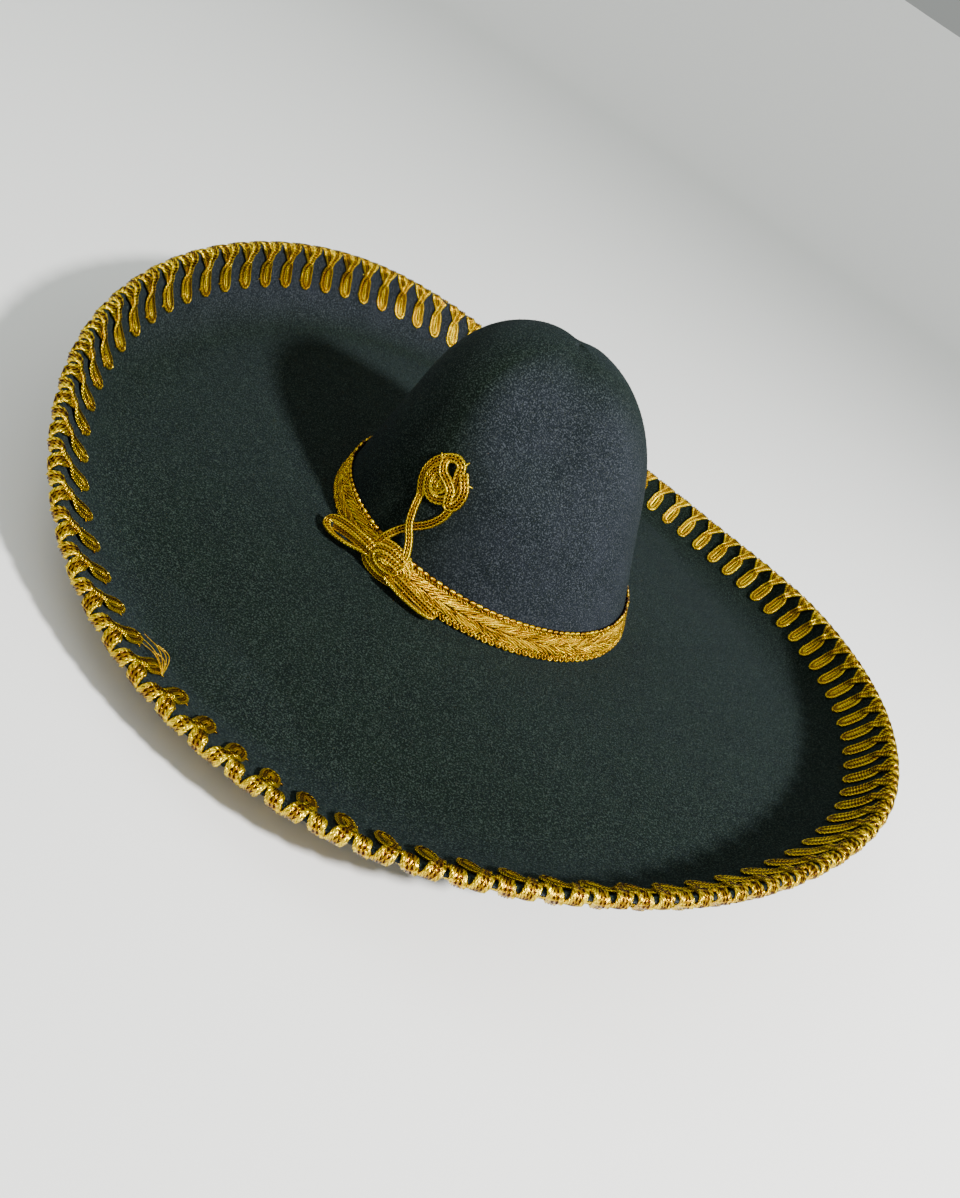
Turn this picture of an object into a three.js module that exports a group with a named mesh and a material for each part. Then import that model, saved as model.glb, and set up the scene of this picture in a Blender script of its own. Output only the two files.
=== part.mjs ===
// Charro sombrero: a felt crown with two side dents, a wide felt brim curled up all round, a gold band,
// gold braid looped over the rim, and a bow whose two cords climb the crown to a round knotted rosette.
// Millimetres, +Z up. The hat is worked out with the crown's foot at z = 0 and the middle of the head
// opening at x = y = 0, and then moved as one group so that it stands on z = 0 over the origin.
// Turns are degrees round +Z from +X. The bow is on the -Y side.
import * as THREE from "three";

// Head opening and crown
const HEAD_RADIUS = 95;
const HEAD_OVAL = 0.045;
const HEAD_OVAL_TURN = 26;
const FELT = 2.6;
const SEAM_GAP = 0.3;
const CROWN_HEIGHT = 137.5;
const CROWN_SIDE_HEIGHT = 80;
const CROWN_TAPER_ANGLE = 17.7;
const CROWN_LEAN = 19;

// The two dents of the crown, one on each side
const DENT_DEPTH = 11;
const DENT_HALF_TURN = 50;
const DENT_HALF_HEIGHT = 42;
const DENT_TURNS = [-76, 104];
const DENT_RISE = 104;

// Brim: widths are measured along the felt, from the crown to the rim
const BRIM_WIDTH = 181;
const CURL_WIDTH = 74;
const CURL_SLOPE = 64;
const SADDLE_RISE = 17;
const REST_FLATTEN = 2.5;

// Band round the foot of the crown
const BAND_HEIGHT = 17;
const BAND_THICKNESS = 2.4;
const BAND_SEAT = 0.5;

// Braid looped over the rim
const TRIM_LOOPS = 88;
const TRIM_START_TURN = 121.5;
const TRIM_SEAT = 0.6;
const TRIM_THICKNESS = 1.3;
const TRIM_HEM = 9;
const LOOP_LENGTH = 29;
const LOOP_WIDTH = 9.6;
const LOOP_WIDEST = 0.7;
const LOOP_NECK = 7;
const LOOP_TIP = 5;
const LOOP_LEAN = 5.5;

// Bow and rosette
const CORD_WIDTH = 5;
const CORD_THICKNESS = 1.8;
const KNOT_TURN = -114.5;
const KNOT_RISE = 8;
const KNOT_LENGTH = 34;
const KNOT_HEIGHT = 17;
const KNOT_DEPTH = 8;
const ROSETTE_TURN = -112.3;
const ROSETTE_RISE = 57.8;
const ROSETTE_RADIUS = 14;
const ROSETTE_DEPTH = 5;
const BOW_LOOP_LENGTH = 22;
const BOW_LOOP_WIDTH = 12;
const BOW_LOOP_SWEEP = 10;
const BOW_LOOP_REACH = 13.5;
const BOW_LOOP_LEAN = 50;
const BOW_TAIL_LENGTH = 20;

// How finely the round forms are divided
const CROWN_SPOKES = 44;
const BRIM_SPOKES = 66;
const BAND_SPOKES = 56;
const CURL_STEPS = 48;

// Brim sections: felt width, height of the fold where the curl starts, and slope at the rim,
// as shares of BRIM_WIDTH, SADDLE_RISE and CURL_SLOPE
const BRIM_SECTIONS = [
  { turn: 0, width: 1.01, fold: 0.42, slope: 1.10 },
  { turn: 30, width: 1.05, fold: -0.35, slope: 1.11 },
  { turn: 60, width: 1.06, fold: -1.00, slope: 0.79 },
  { turn: 90, width: 1.025, fold: -0.70, slope: 0.64 },
  { turn: 120, width: 0.99, fold: 0.25, slope: 1.08 },
  { turn: 150, width: 0.95, fold: 0.67, slope: 1.49 },
  { turn: 180, width: 0.92, fold: 0.44, slope: 1.43 },
  { turn: 210, width: 0.92, fold: -0.21, slope: 1.14 },
  { turn: 240, width: 0.93, fold: -0.96, slope: 0.74 },
  { turn: 270, width: 0.967, fold: -0.79, slope: 0.66 },
  { turn: 300, width: 1.015, fold: 0.24, slope: 0.90 },
  { turn: 330, width: 1.015, fold: 0.76, slope: 1.06 },
];

// Where the brim's sections have points: shares of the straight part, then of the curl inside the loops.
// Under the loops they lie where the loops have theirs, so that the braid and the felt stay parallel.
const STRAIGHT_STATIONS = [0, 0.5, 0.82, 1];
const CURL_STATIONS = [0.33, 0.67];

// Band section, as shares of BAND_HEIGHT and BAND_THICKNESS: a rib along each edge
const BAND_SECTION = [
  { rise: 0, proud: 0 },
  { rise: 1, proud: 0 },
  { rise: 1, proud: 0.75 },
  { rise: 0.91, proud: 1 },
  { rise: 0.8, proud: 0.62 },
  { rise: 0.2, proud: 0.62 },
  { rise: 0.09, proud: 1 },
  { rise: 0, proud: 0.75 },
];

const FELT_BLACK = { color: 0x101b18, roughness: 0.95, metalness: 0.0 };
const GOLD_BRAID = { color: 0xc89a2a, roughness: 0.38, metalness: 0.75 };

const radians = THREE.MathUtils.degToRad;
const degrees = THREE.MathUtils.radToDeg;

// A point given by its distance from the axis, its turn and its height
function polar(radius, turn, height) {
  const angle = radians(turn);
  return new THREE.Vector3(radius * Math.cos(angle), radius * Math.sin(angle), height);
}

// A smooth bump: 1 in the middle, 0 from one half width on
function bump(distance) {
  const share = Math.min(Math.abs(distance), 1);
  return (1 - share * share) ** 2;
}

// The difference of two turns, from -180 to 180 degrees
function turnBetween(from, to) {
  return THREE.MathUtils.euclideanModulo(to - from + 180, 360) - 180;
}

// A closed mesh from vertices and triangles, with its faces turned outwards
function solid(name, finish, vertices, triangles) {
  let volume = 0;
  for (const [a, b, c] of triangles) {
    volume += vertices[a].dot(vertices[b].clone().cross(vertices[c]));
  }
  const outward = volume > 0 ? triangles : triangles.map(([a, b, c]) => [a, c, b]);
  const geometry = new THREE.BufferGeometry();
  const positions = vertices.flatMap((vertex) => vertex.toArray());
  geometry.setAttribute("position", new THREE.Float32BufferAttribute(positions, 3));
  geometry.setIndex(outward.flat());
  geometry.computeVertexNormals();
  const mesh = new THREE.Mesh(geometry, new THREE.MeshStandardMaterial(finish));
  mesh.name = name;
  return mesh;
}

// Two triangles for four corners
function quad(triangles, a, b, c, d) {
  triangles.push([a, b, c], [a, c, d]);
}

// Triangles between two neighbouring closed loops of equal length
function bridge(triangles, first, second) {
  for (let i = 0; i < first.length; i++) {
    const next = (i + 1) % first.length;
    quad(triangles, first[i], second[i], second[next], first[next]);
  }
}

// Adds points to the vertex list and returns their numbers
function addPoints(vertices, points) {
  return points.map((point) => vertices.push(point) - 1);
}

// A closed ring from equal sections that follow each other round the hat
function ringSolid(name, finish, sections) {
  const vertices = [];
  const triangles = [];
  const loops = sections.map((section) => addPoints(vertices, section));
  loops.forEach((loop, index) => bridge(triangles, loop, loops[(index + 1) % loops.length]));
  return solid(name, finish, vertices, triangles);
}

// A closed bar from equal sections that follow each other along a path, capped at both ends
function barSolid(name, finish, sections) {
  const vertices = [];
  const triangles = [];
  const loops = sections.map((section) => addPoints(vertices, section));
  for (let i = 0; i + 1 < loops.length; i++) bridge(triangles, loops[i], loops[i + 1]);
  const start = loops[0];
  const end = loops[loops.length - 1];
  for (let i = 1; i + 1 < start.length; i++) {
    triangles.push([start[0], start[i], start[i + 1]]);
    triangles.push([end[0], end[i + 1], end[i]]);
  }
  return solid(name, finish, vertices, triangles);
}

// Radius of the crown's outside at its foot
function footRadius(turn) {
  return HEAD_RADIUS * (1 + HEAD_OVAL * Math.cos(2 * radians(turn - HEAD_OVAL_TURN)));
}

// Crown profile: a straight tapering side, then a dome whose curve starts in line with the side.
// The level runs from 0 at the foot through 1 at the top of the side to 2 at the apex.
const TAPER = Math.tan(radians(CROWN_TAPER_ANGLE)) * (CROWN_HEIGHT / HEAD_RADIUS);
const SIDE_TOP = new THREE.Vector2(1 - (TAPER * CROWN_SIDE_HEIGHT) / CROWN_HEIGHT, CROWN_SIDE_HEIGHT);
const DOME = new THREE.QuadraticBezierCurve(
  SIDE_TOP,
  new THREE.Vector2(1 - TAPER, CROWN_HEIGHT),
  new THREE.Vector2(0, CROWN_HEIGHT),
);

// Share of the foot radius, and height, at a level of the profile
function crownProfile(level) {
  if (level >= 1) return DOME.getPoint(Math.min(level - 1, 1));
  return new THREE.Vector2(1, 0).lerp(SIDE_TOP, level);
}

// The level at which the profile reaches a height
function levelAt(height) {
  let low = 0;
  let high = 2;
  for (let i = 0; i < 40; i++) {
    const middle = (low + high) / 2;
    if (crownProfile(middle).y < height) low = middle;
    else high = middle;
  }
  return low;
}

// The crown's outside before it is dented
function plainCrown(turn, level) {
  const profile = crownProfile(level);
  const point = polar(footRadius(turn) * profile.x, turn, profile.y);
  point.x -= CROWN_LEAN * (profile.y / CROWN_HEIGHT);
  return point;
}

// How far the crown is pressed in at a turn and height
function dentDepth(turn, height) {
  const tall = bump((height - DENT_RISE) / DENT_HALF_HEIGHT);
  const wide = DENT_TURNS.map((dent) => bump(turnBetween(dent, turn) / DENT_HALF_TURN));
  return DENT_DEPTH * tall * Math.max(...wide);
}

// The unit normal of a surface given by two parameters, by finite differences
function surfaceNormal(surface, u, v, stepU, stepV) {
  const alongU = surface(u + stepU, v).sub(surface(u - stepU, v));
  const alongV = surface(u, v + stepV).sub(surface(u, v - stepV));
  return alongU.cross(alongV).normalize();
}

// A point of the crown's outside, dented, and lifted off it by a distance along its normal
function crownAt(turn, level, lift) {
  const base = plainCrown(turn, level);
  const inner = surfaceNormal(plainCrown, turn, Math.min(level, 1.97), 0.5, 0.02);
  const dented = (t, l) => {
    const point = plainCrown(t, l);
    return point.addScaledVector(inner, -dentDepth(t, point.z));
  };
  const normal = surfaceNormal(dented, turn, Math.min(level, 1.97), 0.5, 0.02);
  return base.addScaledVector(inner, -dentDepth(turn, base.z)).addScaledVector(normal, lift);
}

// The same point, found by its height on the crown
function onCrown(turn, height, lift) {
  return crownAt(turn, levelAt(height), lift);
}

// The crown as a shell: rings outside and inside, an apex to each, and a flat foot
function makeCrown() {
  const outerLevels = [0, 0.33, 0.66, 1, 1.14, 1.28, 1.42, 1.56, 1.72, 1.87];
  const innerLevels = [0, 0.5, 1, 1.2, 1.4, 1.6, 1.84];
  const vertices = [];
  const triangles = [];
  const ring = (level, lift) => {
    const points = [];
    for (let i = 0; i < CROWN_SPOKES; i++) points.push(crownAt((360 * i) / CROWN_SPOKES, level, lift));
    if (level === 0) points.forEach((point) => point.setZ(SEAM_GAP));
    return addPoints(vertices, points);
  };
  const outer = outerLevels.map((level) => ring(level, 0));
  const inner = innerLevels.map((level) => ring(level, -FELT));
  const rows = [...inner.toReversed(), ...outer];
  for (let i = 0; i + 1 < rows.length; i++) bridge(triangles, rows[i], rows[i + 1]);
  const outerApex = addPoints(vertices, [new THREE.Vector3(-CROWN_LEAN, 0, CROWN_HEIGHT)])[0];
  const innerApex = addPoints(vertices, [new THREE.Vector3(-CROWN_LEAN, 0, CROWN_HEIGHT - FELT)])[0];
  const top = outer[outer.length - 1];
  const ceiling = inner[inner.length - 1];
  for (let i = 0; i < CROWN_SPOKES; i++) {
    const next = (i + 1) % CROWN_SPOKES;
    triangles.push([top[i], outerApex, top[next]]);
    triangles.push([ceiling[i], ceiling[next], innerApex]);
  }
  return solid("crown", FELT_BLACK, vertices, triangles);
}

// One column of the section table at any turn, on a smooth closed curve through its rows
function sectionValue(column, turn) {
  const count = BRIM_SECTIONS.length;
  const place = (THREE.MathUtils.euclideanModulo(turn, 360) / 360) * count;
  const row = Math.floor(place);
  const t = place - row;
  const value = (offset) => BRIM_SECTIONS[(row + offset + count) % count][column];
  const [a, b, c, d] = [value(-1), value(0), value(1), value(2)];
  const bend = 2 * a - 5 * b + 4 * c - d + t * (3 * (b - c) + d - a);
  return b + 0.5 * t * (c - a + t * bend);
}

// The brim's section at a turn: distance from the axis, height and slope at even steps of the curl
function brimSection(turn) {
  const width = BRIM_WIDTH * sectionValue("width", turn);
  const straight = width - CURL_WIDTH;
  const fold = SADDLE_RISE * sectionValue("fold", turn);
  const start = Math.asin(fold / straight);
  const end = radians(CURL_SLOPE * sectionValue("slope", turn));
  const foot = footRadius(turn);
  const curl = [{ radius: foot + straight * Math.cos(start), height: fold, slope: start }];
  const step = CURL_WIDTH / CURL_STEPS;
  for (let i = 1; i <= CURL_STEPS; i++) {
    const middle = THREE.MathUtils.smoothstep(i - 0.5, 0, CURL_STEPS);
    const slope = start + (end - start) * middle;
    const last = curl[i - 1];
    const here = start + (end - start) * THREE.MathUtils.smoothstep(i, 0, CURL_STEPS);
    curl.push({
      radius: last.radius + step * Math.cos(slope),
      height: last.height + step * Math.sin(slope),
      slope: here,
    });
  }
  return { foot, straight, start, curl };
}

// The brim's upper face a distance back from the rim along the felt, before it settles on the ground.
// A distance below zero lies past the rim, in line with it.
function sectionAt(section, back) {
  const { foot, straight, start, curl } = section;
  const along = CURL_WIDTH - back;
  if (along <= 0) {
    const share = Math.max(along + straight, 0);
    return { radius: foot + share * Math.cos(start), height: share * Math.sin(start), slope: start };
  }
  const place = (along / CURL_WIDTH) * CURL_STEPS;
  const index = Math.min(Math.floor(place), CURL_STEPS - 1);
  const t = place - index;
  const [a, b] = [curl[index], curl[index + 1]];
  return {
    radius: THREE.MathUtils.lerp(a.radius, b.radius, t),
    height: THREE.MathUtils.lerp(a.height, b.height, t),
    slope: THREE.MathUtils.lerp(a.slope, b.slope, t),
  };
}

// The height of the felt's underside at a place of the section
function undersideHeight(place) {
  return place.height - FELT * Math.cos(place.slope);
}

// The ground: the lowest the underside would reach, less what the felt flattens where it rests
function groundHeight() {
  let lowest = 0;
  for (let turn = 0; turn < 360; turn += 1) {
    const section = brimSection(turn);
    for (const place of section.curl) lowest = Math.min(lowest, undersideHeight(place));
  }
  return lowest + REST_FLATTEN;
}
const GROUND = groundHeight();

// A point of the settled brim, back from the rim, and lifted off its upper face along its normal
function brimAt(turn, back, lift) {
  const place = sectionAt(brimSection(turn), back);
  const settle = Math.max(0, GROUND - undersideHeight(place));
  const radius = place.radius - lift * Math.sin(place.slope);
  return polar(radius, turn, place.height + lift * Math.cos(place.slope) + settle);
}

// The brim: an opening the size of the crown's inside, a flat seat for the crown, and the section
function makeBrim() {
  const sections = [];
  for (let i = 0; i < BRIM_SPOKES; i++) {
    const turn = (360 * i) / BRIM_SPOKES;
    const width = BRIM_WIDTH * sectionValue("width", turn);
    const backs = STRAIGHT_STATIONS.map((share) => width - share * (width - CURL_WIDTH));
    backs.push(...CURL_STATIONS.map((share) => THREE.MathUtils.lerp(CURL_WIDTH, LOOP_LENGTH, share)));
    backs.push(LOOP_LENGTH, LOOP_LENGTH * LOOP_WIDEST, TRIM_HEM, 0);
    const upper = backs.map((back) => brimAt(turn, back, 0));
    const lower = backs.map((back) => brimAt(turn, back, -FELT));
    const mouth = footRadius(turn) - FELT;
    upper.unshift(polar(mouth, turn, 0));
    lower.unshift(polar(mouth, turn, -FELT));
    sections.push([...upper, ...lower.toReversed()]);
  }
  return ringSolid("brim", FELT_BLACK, sections);
}

// The band, standing on the brim against the crown
function makeBand() {
  const sections = [];
  for (let i = 0; i < BAND_SPOKES; i++) {
    const turn = (360 * i) / BAND_SPOKES;
    sections.push(
      BAND_SECTION.map(({ rise, proud }) => {
        const height = SEAM_GAP + rise * BAND_HEIGHT;
        const point = onCrown(turn, height, BAND_SEAT + proud * BAND_THICKNESS);
        return point.setZ(height);
      }),
    );
  }
  return ringSolid("hat_band", GOLD_BRAID, sections);
}

// Turns at even steps along the rim, by its own length
function rimTurns() {
  const steps = 720;
  const lengths = [0];
  let last = brimAt(0, 0, 0);
  for (let i = 1; i <= steps; i++) {
    const point = brimAt((360 * i) / steps, 0, 0);
    lengths.push(lengths[i - 1] + point.distanceTo(last));
    last = point;
  }
  return { steps, lengths, total: lengths[steps] };
}
const RIM = rimTurns();

// The turn at a length along the rim from +X
function turnAtLength(length) {
  const wanted = THREE.MathUtils.euclideanModulo(length, RIM.total);
  const index = Math.min(RIM.lengths.findIndex((value) => value > wanted), RIM.steps);
  const before = RIM.lengths[index - 1];
  const share = (wanted - before) / (RIM.lengths[index] - before);
  return (360 * (index - 1 + share)) / RIM.steps;
}

// The length along the rim from +X to a turn
function lengthAtTurn(turn) {
  const place = (turn / 360) * RIM.steps;
  const index = Math.floor(place);
  return THREE.MathUtils.lerp(RIM.lengths[index], RIM.lengths[index + 1], place - index);
}

// A point of the braid: loops counted along the rim, shifted by a length, back from the rim, lifted
function trimPoint(loops, shift, back, lift) {
  const length = lengthAtTurn(TRIM_START_TURN) + (loops * RIM.total) / TRIM_LOOPS + shift;
  return brimAt(turnAtLength(length), back, lift);
}

// The braid over the rim: a hem clasping the rim, with a tongue for each loop on both faces.
// The tongues below lie half a loop further on than those above, as the cord crosses the rim aslant.
function makeTrim() {
  const near = TRIM_SEAT;
  const far = TRIM_SEAT + TRIM_THICKNESS;
  const hem = [
    { half: 0, back: TRIM_HEM, lift: far },
    { half: 0, back: -TRIM_SEAT, lift: far },
    { half: 0.25, back: -far, lift: -FELT / 2 },
    { half: 0.5, back: -TRIM_SEAT, lift: -FELT - far },
    { half: 0.5, back: TRIM_HEM, lift: -FELT - far },
    { half: 0.5, back: TRIM_HEM, lift: -FELT - near },
    { half: 0.5, back: -near, lift: -FELT - near },
    { half: 0, back: -near, lift: near },
    { half: 0, back: TRIM_HEM, lift: near },
  ];
  const vertices = [];
  const triangles = [];
  const loops = [];
  const leanAt = (back) => -LOOP_LEAN * (back / LOOP_LENGTH);
  for (let i = 0; i < TRIM_LOOPS; i++) {
    for (const side of [-0.5, 0.5]) {
      const points = hem.map(({ half, back, lift }) => {
        return trimPoint(i + 0.5 + half, side * LOOP_NECK + leanAt(back), back, lift);
      });
      loops.push(addPoints(vertices, points));
    }
  }
  const topEnd = hem.length - 1;
  const bottomEnd = 4;
  loops.forEach((loop, index) => {
    const next = loops[(index + 1) % loops.length];
    const isLoop = index % 2 === 0;
    for (let i = 0; i < hem.length; i++) {
      const other = (i + 1) % hem.length;
      const root = [loop[i], next[i], next[other], loop[other]];
      const isEnd = i === topEnd || i === bottomEnd;
      if (isLoop && isEnd) addTongue(vertices, triangles, root, index / 2, i === topEnd, near, far);
      else quad(triangles, ...root);
    }
  });
  return solid("rim_trim", GOLD_BRAID, vertices, triangles);
}

// One tongue of the braid, grown from the four corners of its root on the hem
function addTongue(vertices, triangles, root, loop, onTop, near, far) {
  const rows = [
    { back: LOOP_LENGTH * LOOP_WIDEST, width: LOOP_WIDTH },
    { back: LOOP_LENGTH, width: LOOP_TIP },
  ];
  const place = loop + (onTop ? 0.5 : 1);
  const lifts = onTop ? [near, near, far, far] : [-FELT - far, -FELT - far, -FELT - near, -FELT - near];
  let last = root;
  for (const { back, width } of rows) {
    const sides = [-0.5, 0.5, 0.5, -0.5];
    const lean = -LOOP_LEAN * (back / LOOP_LENGTH);
    const points = sides.map((side, i) => trimPoint(place, side * width + lean, back, lifts[i]));
    const row = addPoints(vertices, points);
    bridge(triangles, row, last);
    last = row;
  }
  quad(triangles, ...last);
}

// Section of a flat cord, as shares of half its width and of its thickness: flat below, rounded above
const CORD_SECTION = [
  { across: -1, rise: 0 },
  { across: 1, rise: 0 },
  { across: 1, rise: 0.6 },
  { across: 0.55, rise: 1 },
  { across: -0.55, rise: 1 },
  { across: -1, rise: 0.6 },
];

// A flat cord along points of { at, out }: out is the side that its face looks to
function flatCord(name, places, widths, thickness) {
  const sections = places.map(({ at, out }, index) => {
    const before = places[Math.max(index - 1, 0)].at;
    const after = places[Math.min(index + 1, places.length - 1)].at;
    const forward = after.clone().sub(before).normalize();
    const wide = forward.clone().cross(out).normalize().multiplyScalar(widths[index] / 2);
    const thick = wide.clone().cross(forward).normalize().multiplyScalar(thickness);
    return CORD_SECTION.map(({ across, rise }) => {
      return at.clone().addScaledVector(wide, across).addScaledVector(thick, rise);
    });
  });
  return barSolid(name, GOLD_BRAID, sections);
}

// A place on the crown for a cord, with the direction straight off the felt
function crownPlace(turn, height, lift) {
  const at = onCrown(turn, height, lift);
  const out = at.clone().sub(onCrown(turn, height, lift - 1)).normalize();
  return { at, out };
}

// A domed pad lying on the crown, oval in outline, with its back following the surface below it
function crownPad(name, centre, halfLength, halfHeight, lift, depth) {
  const spokes = 20;
  const domeRows = [
    { out: 1, rise: 0.45 },
    { out: 0.86, rise: 0.8 },
    { out: 0.5, rise: 1 },
  ];
  const place = (share, angle, height) => {
    const along = halfLength * share * Math.cos(angle);
    const up = halfHeight * share * Math.sin(angle);
    const radius = footRadius(centre.turn) * crownProfile(levelAt(centre.height)).x;
    const at = centre.height + up * Math.cos(radians(CROWN_TAPER_ANGLE));
    return onCrown(centre.turn + degrees(along / radius), at, height);
  };
  const vertices = [];
  const triangles = [];
  const row = (share, height) => {
    const points = [];
    for (let i = 0; i < spokes; i++) points.push(place(share, (2 * Math.PI * i) / spokes, height));
    return addPoints(vertices, points);
  };
  const rows = [row(0.5, lift), row(1, lift)];
  domeRows.forEach(({ out, rise }) => rows.push(row(out, lift + depth * rise)));
  for (let i = 0; i + 1 < rows.length; i++) bridge(triangles, rows[i], rows[i + 1]);
  const back = addPoints(vertices, [place(0, 0, lift)])[0];
  const front = addPoints(vertices, [place(0, 0, lift + depth)])[0];
  const outer = rows[rows.length - 1];
  for (let i = 0; i < spokes; i++) {
    const next = (i + 1) % spokes;
    triangles.push([rows[0][i], rows[0][next], back]);
    triangles.push([outer[next], outer[i], front]);
  }
  return solid(name, GOLD_BRAID, vertices, triangles);
}

// Lifts off the crown: on the felt, and on the band
const ON_FELT = SEAM_GAP + 0.1;
const ON_BAND = BAND_SEAT + BAND_THICKNESS + SEAM_GAP;

const KNOT = { turn: KNOT_TURN, height: KNOT_RISE };
const ROSETTE = { turn: ROSETTE_TURN, height: ROSETTE_RISE };

function makeKnot() {
  return crownPad("bow_knot", KNOT, KNOT_LENGTH / 2, KNOT_HEIGHT / 2, ON_BAND, KNOT_DEPTH);
}

function makeRosette() {
  return crownPad("rosette", ROSETTE, ROSETTE_RADIUS, ROSETTE_RADIUS, ON_FELT, ROSETTE_DEPTH);
}

// The two cords from the knot to the rosette, by shares of the way up and turns from the knot's middle.
// They come over the band's edge and cross on the felt, the left one outside.
function makeRosetteCords() {
  const flat = Math.cos(radians(CROWN_TAPER_ANGLE));
  const start = KNOT_RISE + (KNOT_HEIGHT / 2) * flat + 2 * SEAM_GAP;
  const end = ROSETTE_RISE - ROSETTE_RADIUS * flat - SEAM_GAP;
  const crossLift = ON_FELT + CORD_THICKNESS + SEAM_GAP;
  const routes = {
    rosette_cord_left: [
      { share: 0, turn: 5.5, lift: ON_BAND },
      { share: 0.15, turn: 4.6, lift: ON_BAND },
      { share: 0.35, turn: 1.2, lift: crossLift },
      { share: 0.6, turn: -2, lift: crossLift },
      { share: 0.84, turn: -3.3, lift: ON_FELT },
      { share: 1, turn: -3.3, lift: ON_FELT },
    ],
    rosette_cord_right: [
      { share: 0, turn: -4.8, lift: ON_BAND },
      { share: 0.13, turn: -3.8, lift: ON_BAND },
      { share: 0.35, turn: -1.8, lift: ON_FELT },
      { share: 0.58, turn: 1.8, lift: ON_FELT },
      { share: 0.8, turn: 5.2, lift: ON_FELT },
      { share: 0.97, turn: 6.4, lift: ON_FELT },
    ],
  };
  return Object.entries(routes).map(([name, route]) => {
    const places = route.map(({ share, turn, lift }) => {
      return crownPlace(KNOT_TURN + turn, THREE.MathUtils.lerp(start, end, share), lift);
    });
    return flatCord(name, places, places.map(() => CORD_WIDTH), CORD_THICKNESS);
  });
}

// The left loop of the bow: a flat loop of cord, narrow at the knot, which leans from the band
// towards the brim and stands off the crown at its end
function makeBowLoop() {
  const sides = 16;
  const pinch = 0.3;
  const endRise = 1;
  const root = KNOT_TURN - degrees((KNOT_LENGTH / 2 + SEAM_GAP) / HEAD_RADIUS);
  const near = onCrown(root, KNOT_RISE, ON_BAND + CORD_THICKNESS);
  const endTurn = root - BOW_LOOP_SWEEP;
  const end = polar(footRadius(endTurn) + BOW_LOOP_REACH, endTurn, endRise);
  const long = end.clone().sub(near).normalize();
  const lean = radians(BOW_LOOP_LEAN);
  const outward = polar(Math.cos(lean), (root + endTurn) / 2, Math.sin(lean));
  const wide = long.clone().cross(outward).normalize();
  const out = wide.clone().cross(long);
  const centre = near.clone().addScaledVector(long, BOW_LOOP_LENGTH / 2);
  const sections = [];
  for (let i = 0; i < sides; i++) {
    const angle = (2 * Math.PI * i) / sides;
    const ring = (inset, height) => {
      const along = (BOW_LOOP_LENGTH / 2 - inset) * Math.cos(angle);
      const across = (BOW_LOOP_WIDTH / 2 - inset) * Math.sin(angle) * (1 + pinch * Math.cos(angle));
      const at = centre.clone().addScaledVector(long, along);
      return at.addScaledVector(wide, across).addScaledVector(out, height);
    };
    sections.push([ring(CORD_WIDTH, 0), ring(0, 0), ring(0, CORD_THICKNESS), ring(CORD_WIDTH, CORD_THICKNESS)]);
  }
  return ringSolid("bow_loop", GOLD_BRAID, sections);
}

// The right end of the bow: a folded loop along the lower part of the band, which stands off it at its end
function makeBowTail() {
  const start = KNOT_TURN + degrees((KNOT_LENGTH / 2 + 2 * SEAM_GAP) / HEAD_RADIUS);
  const sweep = degrees(BOW_TAIL_LENGTH / HEAD_RADIUS);
  const shape = [
    { share: 0, width: 1.7, rise: 1.3, off: 0 },
    { share: 0.35, width: 2.1, rise: 1.2, off: 0.2 },
    { share: 0.75, width: 2, rise: 1.05, off: 0.55 },
    { share: 1, width: 1.5, rise: 0.9, off: 0.75 },
  ];
  const places = shape.map(({ share, rise, off }) => {
    return crownPlace(start + sweep * share, CORD_WIDTH * rise, ON_BAND + CORD_WIDTH * off);
  });
  return flatCord("bow_tail", places, shape.map(({ width }) => width * CORD_WIDTH), CORD_THICKNESS * 1.5);
}

const hat = new THREE.Group();
hat.add(makeCrown(), makeBrim(), makeBand(), makeTrim());
hat.add(makeKnot(), makeBowLoop(), makeBowTail(), ...makeRosetteCords(), makeRosette());

// The hat stands on z = 0, with the middle of its box over the origin
const box = new THREE.Box3().setFromObject(hat);
const middle = box.getCenter(new THREE.Vector3());
hat.position.set(-middle.x, -middle.y, -GROUND);
hat.updateMatrixWorld(true);

export default hat;
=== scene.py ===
"""Looks of a charro sombrero: black fur felt, a gold galloon band, gold cord looped over the rim, and a bow.

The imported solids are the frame. Each class below holds one sub-assembly: its sizes are fields in
millimetres, its methods build the meshes, and its finish dresses them. The felt's form is worked out
from the crown's foot, in the same way for the felt itself and for all that lies on it.
"""

from __future__ import annotations

import logging
import math
from dataclasses import dataclass, field
from enum import Enum
from typing import Iterable, NamedTuple, Sequence

import bpy
import numpy as np
from mathutils import Matrix, Vector, noise


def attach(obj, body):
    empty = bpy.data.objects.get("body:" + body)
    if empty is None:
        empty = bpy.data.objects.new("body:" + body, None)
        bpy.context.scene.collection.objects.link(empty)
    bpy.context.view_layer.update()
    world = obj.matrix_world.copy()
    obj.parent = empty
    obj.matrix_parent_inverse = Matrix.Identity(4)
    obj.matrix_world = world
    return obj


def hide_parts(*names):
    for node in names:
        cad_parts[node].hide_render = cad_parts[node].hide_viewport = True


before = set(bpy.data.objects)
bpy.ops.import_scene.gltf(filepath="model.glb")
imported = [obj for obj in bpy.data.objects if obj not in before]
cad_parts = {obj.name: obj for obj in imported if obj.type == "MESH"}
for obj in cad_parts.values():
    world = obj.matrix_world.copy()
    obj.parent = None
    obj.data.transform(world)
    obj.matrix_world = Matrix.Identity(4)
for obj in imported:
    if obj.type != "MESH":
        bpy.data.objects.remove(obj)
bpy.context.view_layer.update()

MM = 0.001
ROOT = "root"
LOG = logging.getLogger("sombrero")


class Slot(Enum):
    """Material slots of the record."""

    FELT = "black_felt"
    GOLD = "gold_braid"


class Side(Enum):
    """The face of the brim that a cord lies on."""

    UPPER = 1
    UNDER = -1


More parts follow.
